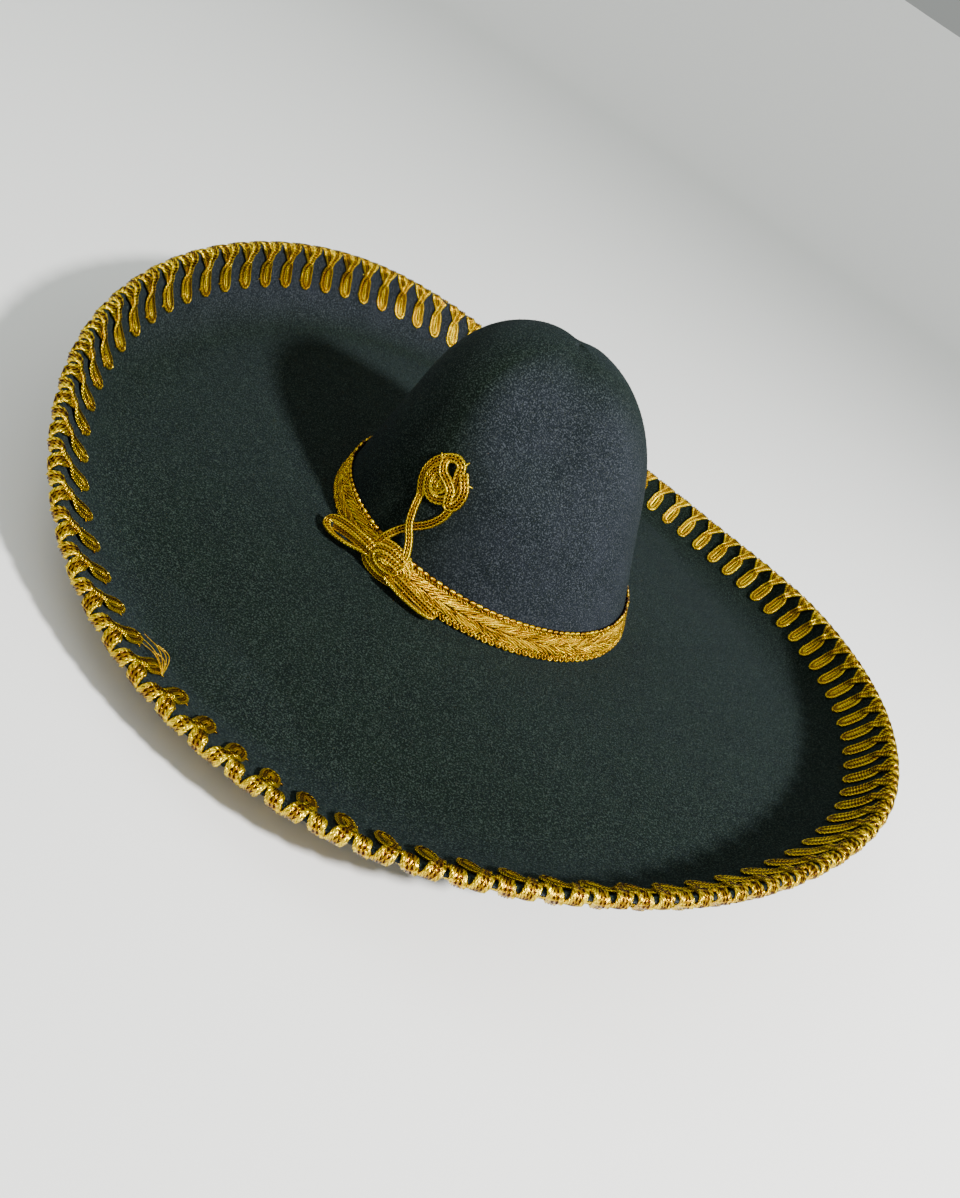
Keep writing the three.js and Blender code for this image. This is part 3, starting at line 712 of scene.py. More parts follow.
@dataclass(frozen=True)
class FeltFinish:
    """Black fur felt with a green cast: short fibres and paler flecks, with painted shade that makes faces
    turned away from the lit front-right greener and darker.
    """

    name: str = "black fur felt"
    dark: tuple[float, float, float, float] = (0.0035, 0.0070, 0.0070, 1.0)
    light: tuple[float, float, float, float] = (0.0180, 0.0216, 0.0290, 1.0)
    fleck: tuple[float, float, float, float] = (0.070, 0.080, 0.092, 1.0)
    # Painted shade: faces turned away from the lit front-right are multiplied by these tints, greener and
    # darker, ramping from none to full between the two dot products
    painted_shade_tint: tuple[float, float, float, float] = (0.18, 0.43, 0.12, 1.0)
    fleck_painted_shade_tint: tuple[float, float, float, float] = (0.54, 0.70, 0.48, 1.0)
    painted_light_way: tuple[float, float, float] = (0.63, -0.75, 0.21)
    painted_shade_full: float = 0.50
    painted_shade_none: float = 0.88
    # Sizes of the patterns, in repeats per metre
    cloud_scale: float = 55.0
    fibre_scale: float = 1300.0
    strand_scale: float = 1500.0
    fleck_scale: float = 1250.0
    fleck_share: float = 0.8
    fibre: tuple[float, float, float, float] = (0.020, 0.027, 0.021, 1.0)
    sheen_tint: tuple[float, float, float, float] = (0.45, 0.55, 0.85, 1.0)
    sheen: float = 0.04
    sheen_roughness: float = 0.55
    roughness: float = 0.92
    gloss: float = 0.06
    fibre_roughness: float = 0.7
    fibre_gloss: float = 0.2
    bump: float = 0.6
    bump_depth: float = 0.8 * MM

    def build(self) -> bpy.types.Material:
        """Makes the material."""
        material = bpy.data.materials.new(self.name)
        material.use_nodes = True
        bench = Bench(material.node_tree)
        shader = material.node_tree.nodes["Principled BSDF"]
        space = bench.add("ShaderNodeTexCoord").outputs
        fibre = bench.grain(space["Object"], self.fibre_scale, 3.0, 0.7)
        height = self.height(bench, space["Object"], fibre)
        relief = {"Strength": self.bump, "Distance": self.bump_depth, "Height": height}
        bench.feed(shader.inputs["Base Color"], self.colour(bench, space["Object"], space["Normal"], fibre))
        bench.feed(shader.inputs["Roughness"], self.roughness)
        bench.feed(shader.inputs["Specular IOR Level"], self.gloss)
        bench.feed(shader.inputs["Sheen Weight"], self.sheen)
        bench.feed(shader.inputs["Sheen Roughness"], self.sheen_roughness)
        bench.feed(shader.inputs["Sheen Tint"], self.sheen_tint)
        bench.feed(shader.inputs["Normal"], bench.add("ShaderNodeBump", relief).outputs["Normal"])
        return material

    def height(self, bench: Bench, where, fibre) -> bpy.types.NodeSocket:
        """The felt's relief: fine fibres, and lines between them."""
        cells = {"Vector": where, "Scale": self.strand_scale}
        strand = bench.add("ShaderNodeTexVoronoi", cells, feature="DISTANCE_TO_EDGE")
        lines = bench.math("SUBTRACT", 1.0, bench.product(strand.outputs["Distance"], 6.0))
        return bench.total(bench.product(0.7, fibre), bench.product(0.3, lines))

    def colour(self, bench: Bench, where, normal, fibre) -> bpy.types.NodeSocket:
        """The felt's colour: clouded and flecked, with painted shade that makes faces turned away from the
        lit front-right greener and darker.

        Args:
            bench: The material's bench.
            where: Places on the piece.
            normal: The piece's own normals.
            fibre: The noise of the fibres.

        Returns:
            The colour.
        """
        cloud = bench.grain(where, self.cloud_scale, 5.0)
        tone = bench.total(bench.product(0.45, cloud), bench.product(0.75, fibre))
        base = bench.blend(bench.ramp(tone, 0.42, 0.85), self.dark, self.light)
        # Painted shade: how far each face turns away from the lit front-right sets how much of the shade tint
        # it takes, flecks too
        along = bench.add("ShaderNodeVectorMath", {0: normal, 1: self.painted_light_way}, operation="DOT_PRODUCT")
        lean = bench.ramp(along.outputs["Value"], self.painted_shade_none, self.painted_shade_full)
        ground = bench.blend(lean, base, self.painted_shade_tint, "MULTIPLY")
        fleck = bench.blend(lean, self.fleck, self.fleck_painted_shade_tint, "MULTIPLY")
        spot = bench.ramp(bench.grain(where, self.fleck_scale), 0.50, 0.70)
        return bench.blend(bench.product(self.fleck_share, spot), ground, fleck)

    def build_fibre(self) -> bpy.types.Material:
        """Makes the material of the loose fibres."""
        material = bpy.data.materials.new(self.name + " fibre")
        material.use_nodes = True
        shader = material.node_tree.nodes["Principled BSDF"]
        shader.inputs["Base Color"].default_value = self.fibre
        shader.inputs["Roughness"].default_value = self.fibre_roughness
        shader.inputs["Specular IOR Level"].default_value = self.fibre_gloss
        return material


@dataclass(frozen=True)
class GoldThread:
    """Gold metal thread. What it is worked into is told by the classes below."""

    name: str = "gold thread"
    # In the cords, deep is painted groove shade and bright a painted highlight; on the band's stitches they
    # are painted shade low down and a painted highlight on top; elsewhere random grain picks them
    bright: tuple[float, float, float, float] = (1.0, 0.73, 0.0, 1.0)
    body: tuple[float, float, float, float] = (0.80, 0.42, 0.0, 1.0)
    deep: tuple[float, float, float, float] = (0.035, 0.006, 0.0, 1.0)
    roughness: float = 0.27
    metal: float = 0.92
    bump: float = 0.9
    bump_depth: float = 0.35 * MM
    grain_scale: float = 900.0

    def build(self) -> bpy.types.Material:
        """Makes the material from the relief, the depth and the brightness that the class works out."""
        material = bpy.data.materials.new(self.name)
        material.use_nodes = True
        bench = Bench(material.node_tree)
        shader = material.node_tree.nodes["Principled BSDF"]
        relief, low, high = self.worked(bench)
        colour = bench.blend(high, bench.blend(low, self.deep, self.body), self.bright)
        bump = {"Strength": self.bump, "Distance": self.bump_depth, "Height": relief}
        bench.feed(shader.inputs["Base Color"], colour)
        bench.feed(shader.inputs["Metallic"], self.metal)
        bench.feed(shader.inputs["Roughness"], self.roughness)
        bench.feed(shader.inputs["Normal"], bench.add("ShaderNodeBump", bump).outputs["Normal"])
        return material

    def worked(self, bench: Bench) -> tuple[bpy.types.NodeSocket, ...]:
        """Works out relief, depth and brightness.

        Args:
            bench: The material's bench.

        Returns:
            The relief, the share of the way from the deep to the body colour, and from there to bright.
        """
        where = bench.add("ShaderNodeTexCoord").outputs["Object"]
        grain = bench.grain(where, self.grain_scale)
        return grain, bench.ramp(grain, 0.1, 0.4), bench.ramp(grain, 0.4, 0.7)


@dataclass(frozen=True)
class PlaitedCord(GoldThread):
    """The flat cord: ribs of slanting stitches, with painted shade as dark dots in the grooves between them
    and painted highlights on the stitch crests and outer ribs.
    """

    name: str = "gold plaited cord"
    ribs: float = 3.0
    stitch: float = 2.0 * MM
    slant: float = 0.7
    grain_scale: float = 1100.0
    patch_scale: float = 90.0

    def worked(self, bench: Bench) -> tuple[bpy.types.NodeSocket, ...]:
        """Works out relief, painted groove shade and painted highlights from the length along the cord and
        the place across it.
        """
        along, across = bench.read("along"), bench.read("across")
        where = bench.add("ShaderNodeTexCoord").outputs["Object"]
        bend = bench.zigzag(bench.product(self.ribs, across), 2.0)
        run = bench.total(bench.math("DIVIDE", along, self.stitch), bench.product(self.slant, bend))
        swell = bench.total(0.5, bench.product(0.5, bench.math("SINE", bench.product(2 * math.pi, run))))
        rib = bench.math("ABSOLUTE", bench.math("COSINE", bench.product(math.pi / 2 * self.ribs, across)))
        strand = bench.math("SINE", bench.product(2 * math.pi * 3.0, run))
        grain = bench.grain(where, self.grain_scale)
        patch = bench.grain(where, self.patch_scale)
        relief = bench.total(bench.product(0.8, swell), bench.product(0.5, rib), bench.product(0.12, strand))
        relief = bench.total(relief, bench.product(0.5, grain))
        # Painted shade: dark in the grooves and between the stitches of the outer ribs, and darker along the
        # middle of the cord
        outer = bench.ramp(bench.math("ABSOLUTE", across), 0.18, 0.62)
        painted_shade_and_dark_middle = bench.product(bench.math("SUBTRACT", 1.0, rib), bench.math("SUBTRACT", 1.15, swell))
        between = bench.product(outer, bench.math("SUBTRACT", 1.0, swell))
        painted_shade_and_dark_middle = bench.total(painted_shade_and_dark_middle, bench.product(0.34, bench.math("SUBTRACT", 1.0, outer)))
        painted_shade_and_dark_middle = bench.total(painted_shade_and_dark_middle, bench.product(0.26, between))
        unshaded_share = bench.math("SUBTRACT", 1.0, bench.ramp(painted_shade_and_dark_middle, 0.10, 0.62))
        # Painted highlight on the stitch crests and the outer ribs, with random brighter patches
        painted_highlight_and_patch = bench.total(bench.product(0.5, outer), bench.product(0.35, swell), bench.product(0.9, patch))
        return relief, unshaded_share, bench.ramp(painted_highlight_and_patch, 0.80, 1.45)


@dataclass(frozen=True)
class BandStitches(GoldThread):
    """Single stitches of the band, each brighter or darker than the next."""

    name: str = "gold band stitches"
    twist: float = 0.75 * MM
    grain_scale: float = 1400.0

    def worked(self, bench: Bench) -> tuple[bpy.types.NodeSocket, ...]:
        """Works out relief, depth and brightness from each stitch's own random shade, with painted shade low
        on each stitch and a painted highlight on its top.
        """
        along, across, above = (bench.read(name) for name in ("along", "across", "above"))
        shade = bench.read("shade")
        where = bench.add("ShaderNodeTexCoord").outputs["Object"]
        grain = bench.grain(where, self.grain_scale)
        run = bench.total(bench.math("DIVIDE", along, self.twist), bench.product(0.5, across))
        ply = bench.total(0.5, bench.product(0.5, bench.math("SINE", bench.product(2 * math.pi, run))))
        relief = bench.total(bench.product(0.7, ply), bench.product(0.5, grain))
        # Painted shade and highlight: the stitch's height over the band darkens its foot and brightens its
        # top, on top of its random shade
        low = bench.total(above, bench.product(0.8, shade), bench.product(0.25, ply))
        high = bench.total(bench.product(0.6, above), bench.product(0.8, shade), bench.product(0.25, ply))
        return relief, bench.ramp(low, 0.55, 1.25), bench.ramp(high, 0.85, 1.40)


@dataclass(frozen=True)
class BandGround(GoldThread):
    """The band's woven ground, which shows as dark gold between the stitches."""

    name: str = "gold band ground"
    bright: tuple[float, float, float, float] = (0.55, 0.24, 0.012, 1.0)
    body: tuple[float, float, float, float] = (0.24, 0.075, 0.004, 1.0)
    deep: tuple[float, float, float, float] = (0.035, 0.008, 0.001, 1.0)
    grain_scale: float = 700.0

    def worked(self, bench: Bench) -> tuple[bpy.types.NodeSocket, ...]:
        """Works out relief, depth and brightness from fine noise."""
        where = bench.add("ShaderNodeTexCoord").outputs["Object"]
        grain = bench.grain(where, self.grain_scale, 3.0)
        return grain, bench.ramp(grain, 0.35, 0.6), bench.ramp(grain, 0.5, 0.75)


def new_mesh(name: str, points: np.ndarray, faces: Iterable[Sequence[int]], edges=()) -> bpy.types.Object:
    """An object from points in metres.

    Args:
        name: The object's name.
        points: The places of the vertices.
        faces: Vertex numbers of each face.
        edges: Vertex numbers of each edge, where there are no faces.

    Returns:
        The object, in the scene.
    """
    mesh = bpy.data.meshes.new(name)
    mesh.from_pydata([tuple(point) for point in points], list(edges), list(faces))
    mesh.shade_smooth()
    mesh.validate()
    piece = bpy.data.objects.new(name, mesh)
    bpy.context.scene.collection.objects.link(piece)
    return piece


def carrier(name: str, points: np.ndarray, notes: dict[str, np.ndarray], joined: bool) -> bpy.types.Object:
    """A path or a set of points for a tree to work on.

    Args:
        name: The object's name.
        points: Places in metres.
        notes: Named directions or numbers at the points.
        joined: Whether the points follow each other as one line.

    Returns:
        The object.
    """
    edges = [(index, index + 1) for index in range(len(points) - 1)] if joined else []
    piece = new_mesh(name, points, [], edges)
    for label, values in notes.items():
        kind, key = ("FLOAT_VECTOR", "vector") if values.ndim == 2 else ("FLOAT", "value")
        attribute = piece.data.attributes.new(label, kind, "POINT")
        attribute.data.foreach_set(key, np.ascontiguousarray(values, dtype=np.float32).ravel())
    return piece


def grid_faces(rows: int, columns: int, start: int = 0) -> np.ndarray:
    """Faces between rows of points that close round on themselves.

    Args:
        rows: Number of rows.
        columns: Points in a row.
        start: Number of the first point.

    Returns:
        Four vertex numbers for each face.
    """
    row, column = np.meshgrid(np.arange(rows - 1), np.arange(columns), indexing="ij")
    a = start + row * columns + column
    b = start + row * columns + (column + 1) % columns
    return np.stack([a, b, b + columns, a + columns], axis=-1).reshape(-1, 4)


def join(name: str, pieces: Sequence[bpy.types.Object]) -> bpy.types.Object:
    """Several objects as one.

    Args:
        name: Name of the result.
        pieces: The objects, which become part of the first.

    Returns:
        The joined object.
    """
    with bpy.context.temp_override(active_object=pieces[0], selected_editable_objects=list(pieces)):
        bpy.ops.object.join()
    pieces[0].name = name
    return pieces[0]


def settle_in(piece: bpy.types.Object, slot: Slot, *nodes: str) -> None:
    """Ties a finished piece to its body, hides the solids that it stands for and logs its triangles."""
    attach(piece, ROOT)
    if nodes:
        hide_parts(*nodes)
    piece.data.calc_loop_triangles()
    LOG.info("%s: %d triangles", piece.name, len(piece.data.loop_triangles))


@dataclass
class Felt:
    """The crown and the brim, shaped by hand from one felt hood."""

    form: HatForm
    finish: FeltFinish = FeltFinish()
    spokes: int = 210
    crown_rows: int = 64
    top_level: float = 1.985
    brim_rows: int = 46
    edge_steps: int = 7
    wander: float = 0.35
    wander_size: float = 45.0
    fibres: float = 230000.0

    def build(self) -> None:
        """Makes both pieces and dresses them."""
        material = self.finish.build()
        fibre = self.finish.build_fibre()
        fuzz = FuzzTree()
        for piece, node in ((self.crown(), "crown"), (self.brim(), "brim")):
            piece.data.materials.append(material)
            ground = piece.copy()
            ground.data = piece.data.copy()
            bpy.context.scene.collection.objects.link(ground)
            hairs = fuzz.apply(ground, "fibres", fibre, Density=self.fibres)
            settle_in(join(piece.name, [piece, hairs]), Slot.FELT, node)

    def uneven(self, points: np.ndarray, normals: np.ndarray) -> np.ndarray:
        """Moves points a little along their normals, as a hand-shaped felt is uneven."""
        flat = points.reshape(-1, 3)
        drift = [noise.noise(Vector(point) / self.wander_size) for point in flat]
        drift = np.array(drift).reshape(points.shape[:-1])[..., None]
        return points + normals * drift * self.wander

    def crown(self) -> bpy.types.Object:
        """The crown as a shell with a rounded foot, closed at its apex outside and inside."""
        form = self.form
        turns = np.arange(self.spokes) * 360.0 / self.spokes
        half = self.crown_rows // 2
        levels = np.concatenate([np.linspace(0.0, 1.0, half), np.linspace(1.0, self.top_level, half)[1:]])
        turn, level = np.meshgrid(turns, levels)
        normal = form.crown_normals(form.dented_crown, turn, level)
        outside = self.uneven(form.dented_crown(turn, level), normal)
        inside = outside - normal * form.felt
        for shell in (outside, inside):
            shell[0, :, 2] = form.seam_gap
        rows = np.concatenate([inside[::-1], outside])
        points = rows.reshape(-1, 3)
        faces = [tuple(face) for face in grid_faces(len(rows), self.spokes)]
        poles = np.array([inside[-1].mean(axis=0), outside[-1].mean(axis=0)])
        last = len(points) - self.spokes
        for i in range(self.spokes):
            j = (i + 1) % self.spokes
            faces.append((len(points), j, i))
            faces.append((len(points) + 1, last + i, last + j))
        return new_mesh("felt_crown", form.to_frame(np.vstack([points, poles])), faces)

    def brim(self) -> bpy.types.Object:
        """The brim as one closed ring with a rounded rim."""
        form = self.form
        turns = np.arange(self.spokes * 2) * 180.0 / self.spokes
        width = form.brim_width_at(turns)
        inner = np.linspace(0.0, 1.0, self.brim_rows // 3, endpoint=False)
        outer = np.linspace(1.0, 0.0, self.brim_rows - len(inner))
        backs = [width + (form.curl_width - width) * share for share in inner]
        backs += [np.full_like(width, form.curl_width * share) for share in outer]
        upper = [(back, 0.0) for back in backs]
        lower = [(back, -form.felt) for back in backs[::-1]]
        angles = np.linspace(0.0, math.pi, self.edge_steps + 2)[1:-1]
        half = form.felt / 2
        edge = [(-half * math.sin(a) * 0.8, -half + half * math.cos(a)) for a in angles]
        rows = [form.brim(turns, back, lift) for back, lift in upper + edge + lower]
        points = np.array(rows)
        normal = form.normals(lambda t, b: form.brim(t, b, 0.0), turns, 0.5 * width, 0.5, 1.0)
        points = self.uneven(points, np.broadcast_to(normal, points.shape) * np.array([0.0, 0.0, 1.0]))
        points[..., 2] = np.maximum(points[..., 2], form.ground)
        mouth = form.foot_radius(turns) - form.felt
        points = np.concatenate([[polar(mouth, turns, 0.0)], points, [polar(mouth, turns, -form.felt)]])
        faces = [tuple(face) for face in grid_faces(len(points), len(turns))]
        last = (len(points) - 1) * len(turns)
        faces += [(i, last + i, last + (i + 1) % len(turns), (i + 1) % len(turns)) for i in range(len(turns))]
        faces = [face[::-1] for face in faces]
        return new_mesh("felt_brim", form.to_frame(points.reshape(-1, 3)), faces)


@dataclass
class RimCord:
    """One long flat cord wound over the rim, in narrow crossed loops on both faces of the felt."""

    form: HatForm
    cord_tree: CordTree
    stitch_tree: StitchTree
    finish: bpy.types.Material
    thread_finish: bpy.types.Material
    bare_finish: bpy.types.Material
    loops: int = 88
    start_turn: float = 121.5
    loop_length: float = 29.0
    width: float = 4.4
    thickness: float = 1.5
    ribs: int = 4
    rim_swell: float = 1.7
    loop_half: float = 2.75
    neck_half: float = 2.6
    cross_back: float = 8.0
    lean: float = 5.5
    step: float = 1.75
    tie_back: float = 22.5
    tie_reach: float = 4.7
    tie_length: float = 3.6
    tie_width: float = 0.8
    fray_turn: float = 250.0
    fray_back: float = 21.0
    fray_length: float = 15.0
    fray_strands: int = 6
    strand_width: float = 0.65
    strand_thickness: float = 0.5

    def build(self) -> None:
        """Makes the cord with its ties and its frayed end, and dresses it."""
        places, facing, swell = self.path()
        notes = {"facing": facing, "swell": swell}
        path = carrier("rim_cord_path", self.form.to_frame(places), notes, True)
        section = {"Width": self.width * MM, "Thickness": self.thickness * MM}
        cord = self.cord_tree.apply(path, "rim_cord", self.finish, **section, Ribs=self.ribs, Rib_Steps=2)
        piece = join("rim_cord", [cord, self.ties(), *self.frayed_end()])
        settle_in(piece, Slot.GOLD, "rim_trim")

    def half_loop(self, side: Side) -> list[tuple[float, float, float, float]]:
        """One face's loop: place along the rim, back from it, height over the felt's face, and swell."""
        quarter = self.form.rim_length() / self.loops / 4
        tip = self.loop_length - self.width / 2
        low = self.thickness / 2 + 0.35
        high = low + self.thickness
        half = self.loop_half
        swell = self.rim_swell
        rows = [
            (-quarter * 0.80, 0.4, low, swell),
            (-self.neck_half * 0.7, 4.2, low + 0.3, 1.25),
            (0.0, self.cross_back, high, 1.05),
            (half * 0.85, 13.0, low + 0.4, 1.0),
            (half, 18.5, low, 1.0),
            (half * 0.92, tip - 2.6, low, 1.0),
            (0.0, tip, low - 0.1, 0.95),
            (-half * 0.92, tip - 2.6, low, 1.0),
            (-half, 18.0, low, 1.0),
            (-half * 0.85, 12.6, low, 1.0),
            (0.0, self.cross_back, low, 1.0),
            (self.neck_half * 0.7, 4.2, low, 1.25),
            (quarter * 0.80, 0.4, low, swell),
        ]
        return [(along, back, height * side.value, grown) for along, back, height, grown in rows]

    def path(self) -> tuple[np.ndarray, np.ndarray, np.ndarray]:
        """The cord's middle line over all the loops.

        Returns:
            Places on the form, the directions that the cord faces, and its swell.
        """
        felt = self.form.felt
        pitch = self.form.rim_length() / self.loops
        reach = self.thickness / 2 + 0.35
        rows = []
        for loop in range(self.loops):
            for shift, side in ((0.5, Side.UPPER), (1.0, Side.UNDER)):
                for along, back, height, swell in self.half_loop(side):
                    lift = height if side is Side.UPPER else height - felt
                    rows.append(((loop + shift) * pitch + along, back, lift, swell))
                rows.append(((loop + shift + 0.25) * pitch, -reach, -felt / 2, self.rim_swell))
        line = spline(rows, self.step)
        along, back, lift, swell = line.T
        turns = self.turns_at(along, back)
        places = self.form.brim(turns, back, lift)
        off = self.outward(back, lift)
        probe = self.form.brim(turns, back + off[:, 0], lift + off[:, 1])
        return places, unit(probe - places), swell

    def turns_at(self, along: np.ndarray, back: np.ndarray) -> np.ndarray:
        """Turns of points given along the rim, with the lean of the loops."""
        lean = -self.lean * np.maximum(back, 0.0) / self.loop_length
        return self.form.rim_turns((along + lean) / self.form.rim_length(), self.start_turn)

    def outward(self, back: np.ndarray, lift: np.ndarray) -> np.ndarray:
        """Directions off the felt as changes of back and lift, turning round the rim's edge."""
        middle = lift + self.form.felt / 2
        bend = 1.0 - smooth_step(back / 2.5)
        side = np.sign(middle) * (1.0 - bend) + bend * np.clip(middle / (self.form.felt / 2 + 1.0), -1.0, 1.0)
        rim = -np.sqrt(np.maximum(1.0 - side * side, 0.0)) * bend
        return unit(np.stack([rim, side], axis=-1))

    def ties(self) -> bpy.types.Object:
        """The pointed thread tie beside the end of each loop, on both faces."""
        pitch = self.form.rim_length() / self.loops
        count = self.loops
        along = (np.concatenate([np.arange(count) + 0.5, np.arange(count)])) * pitch + self.tie_reach
        upper = self.tie_width
        under = -self.form.felt - self.tie_width
        lift = np.concatenate([np.full(count, upper), np.full(count, under)])
        back = np.full(2 * count, self.tie_back)
        turns = self.turns_at(along, back)
        places = self.form.brim(turns, back, lift)
        heading = unit(self.form.brim(turns + 0.4, back + 0.4, lift) - places)
        facing = unit(self.form.brim(turns, back, lift + 1.0) - places) * np.sign(lift)[:, None]
        notes = {"facing": facing, "heading": heading}
        points = carrier("tie_points", self.form.to_frame(places), notes, False)
        girth = self.tie_width * MM
        sizes = {"Length": self.tie_length * MM, "Width": girth, "Height": girth, "Tilt": 0.35, "Seed": 5}
        return self.stitch_tree.apply(points, "ties", self.thread_finish, **sizes)

    def frayed_end(self) -> list[bpy.types.Object]:
        """The bare strands of the cord's end, which stand off the brim in a curl."""
        strands = []
        for index in range(self.fray_strands):
            share = index / (self.fray_strands - 1) - 0.5
            reach = self.fray_length * (1.0 + 0.35 * math.sin(2.4 * index))
            rows = []
            for t in (0.0, 0.3, 0.6, 1.0):
                bulge = 3.0 * math.sin(math.pi * t) + 8.0 * share * math.sin(0.7 * math.pi * t)
                lift = 1.4 + 8.0 * t * (1.5 - t) + 3.0 * share * t
                rows.append((self.fray_turn - 0.25 * reach * t, self.fray_back + bulge, lift))
            turn, back, lift = np.array(rows).T
            line = spline(self.form.brim(turn, back, lift), 1.2)
            facing = np.tile(np.array([0.0, -0.4, 0.9]), (len(line), 1))
            notes = {"facing": facing, "swell": np.linspace(1.0, 0.4, len(line))}
            path = carrier("strand_path", self.form.to_frame(line), notes, True)
            section = {"Width": self.strand_width * MM, "Thickness": self.strand_thickness * MM}
            strand = self.cord_tree.apply(path, "strand", self.bare_finish, **section, Ribs=1, Rib_Steps=2)
            strands.append(strand)
        return strands


class BandRow(NamedTuple):
    """One row of stitches: its place, its pitch and slant, and the size of a stitch in millimetres."""

    share: float
    shift: float
    pitch: float
    slant: float
    length: float
    width: float
    height: float
    proud: float = 0.2
    tilt: float = 0.10
    spread: float = 0.18


@dataclass
class Band:
    """The galloon band: a woven ground, a wheat ear of slanting stitches, rope rows and beaded edges."""

    form: HatForm
    stitch_tree: StitchTree
    finish: bpy.types.Material
    ground_finish: bpy.types.Material
    height: float = 17.0
    seat: float = 0.5
    thickness: float = 2.4
    ground_columns: int = 360
    # Rows of the upper half, as shares of half the height. The lower half mirrors them.
    ear: tuple[BandRow, ...] = (
        BandRow(share=0.14, shift=0.0, pitch=3.3, slant=19.0, length=9.0, width=1.5, height=1.7, tilt=0.16),
        BandRow(share=0.34, shift=0.5, pitch=3.3, slant=21.0, length=9.0, width=1.4, height=1.5, tilt=0.14),
        BandRow(share=0.50, shift=0.2, pitch=3.6, slant=17.0, length=7.5, width=1.3, height=1.3),
        BandRow(share=0.66, shift=0.0, pitch=1.9, slant=-38.0, length=2.8, width=1.1, height=1.3, proud=0.35),
    )
    upper_edge: BandRow = BandRow(
        share=0.86,
        shift=0.0,
        pitch=4.4,
        slant=4.0,
        length=4.3,
        width=2.8,
        height=2.4,
        proud=0.0,
        tilt=0.05,
        spread=0.06,
    )
    lower_edge: tuple[BandRow, ...] = (
        BandRow(share=0.80, shift=0.0, pitch=2.2, slant=40.0, length=3.3, width=1.3, height=1.6, proud=0.2),
        BandRow(
            share=0.92, shift=0.0, pitch=4.4, slant=52.0,
            length=3.4, width=1.5, height=1.8, proud=0.0, spread=0.05,
        ),
        BandRow(
            share=0.92, shift=0.5, pitch=4.4, slant=-52.0,
            length=3.4, width=1.5, height=1.8, proud=0.0, spread=0.05,
        ),
    )

    def build(self) -> None:
        """Makes the band and dresses it."""
        parts = [self.ground()]
        for seed, row in enumerate(self.ear):
            parts += [self.row(row, 1, seed), self.row(row, -1, seed + 20)]
        parts.append(self.row(self.upper_edge, 1, 41))
        parts += [self.row(row, -1, 50 + seed) for seed, row in enumerate(self.lower_edge)]
        settle_in(join("galloon_band", parts), Slot.GOLD, "hat_band")

    def wall(self, turn: np.ndarray, rise: np.ndarray, proud: np.ndarray) -> np.ndarray:
        """Points of the band, by height above its lower edge and distance off the crown."""
        turn, rise, proud = np.broadcast_arrays(*(np.asarray(a, dtype=float) for a in (turn, rise, proud)))
        return self.form.on_crown(turn, np.maximum(rise, 0.0) + self.form.seam_gap, self.seat + proud)

    def ground(self) -> bpy.types.Object:
        """The woven ground under the stitches."""
        turns = np.arange(self.ground_columns) * 360.0 / self.ground_columns
        half = self.thickness * 0.45
        section = [(0.9, 0.0), (self.height - 0.9, 0.0), (self.height - 1.2, half), (1.2, half)]
        rows = np.array([self.wall(turns, rise, proud) for rise, proud in section])
        faces = [tuple(face) for face in grid_faces(len(rows), len(turns))]
        count = len(turns)
        last = (len(rows) - 1) * count
        faces += [(last + i, last + (i + 1) % count, (i + 1) % count, i) for i in range(count)]
        places = self.form.to_frame(rows.reshape(-1, 3))
        piece = new_mesh("band_ground", places, [face[::-1] for face in faces])
        piece.data.materials.append(self.ground_finish)
        return piece

    def row(self, row: BandRow, side: int, seed: int) -> bpy.types.Object:
        """One row of stitches all round the band.

        Args:
            row: The row.
            side: 1 for the upper half of the band, and -1 for the lower.
            seed: Seed of the row's random tilts.

        Returns:
            The stitches as one object.
        """
        form = self.form
        count = int(round(2 * math.pi * form.head_radius / row.pitch))
        turns = (np.arange(count) + row.shift) * 360.0 / count
        rise = self.height / 2 * (1 + side * row.share)
        proud = self.thickness / 2 + row.proud
        places = self.wall(turns, rise, proud)
        facing = unit(self.wall(turns, rise, proud + 1.0) - places)
        forward = unit(self.wall(turns + 0.5, rise, proud) - self.wall(turns - 0.5, rise, proud))
        angle = math.radians(row.slant) * side
        heading = forward * math.cos(angle) + np.cross(facing, forward) * math.sin(angle)
        points = carrier("band_points", form.to_frame(places), {"facing": facing, "heading": heading}, False)
        sizes = {"Length": row.length * MM, "Width": row.width * MM, "Height": row.height * MM}
        return self.stitch_tree.apply(
            points, "band_row", self.finish, **sizes, Tilt=row.tilt, Spread=row.spread, Seed=seed
        )


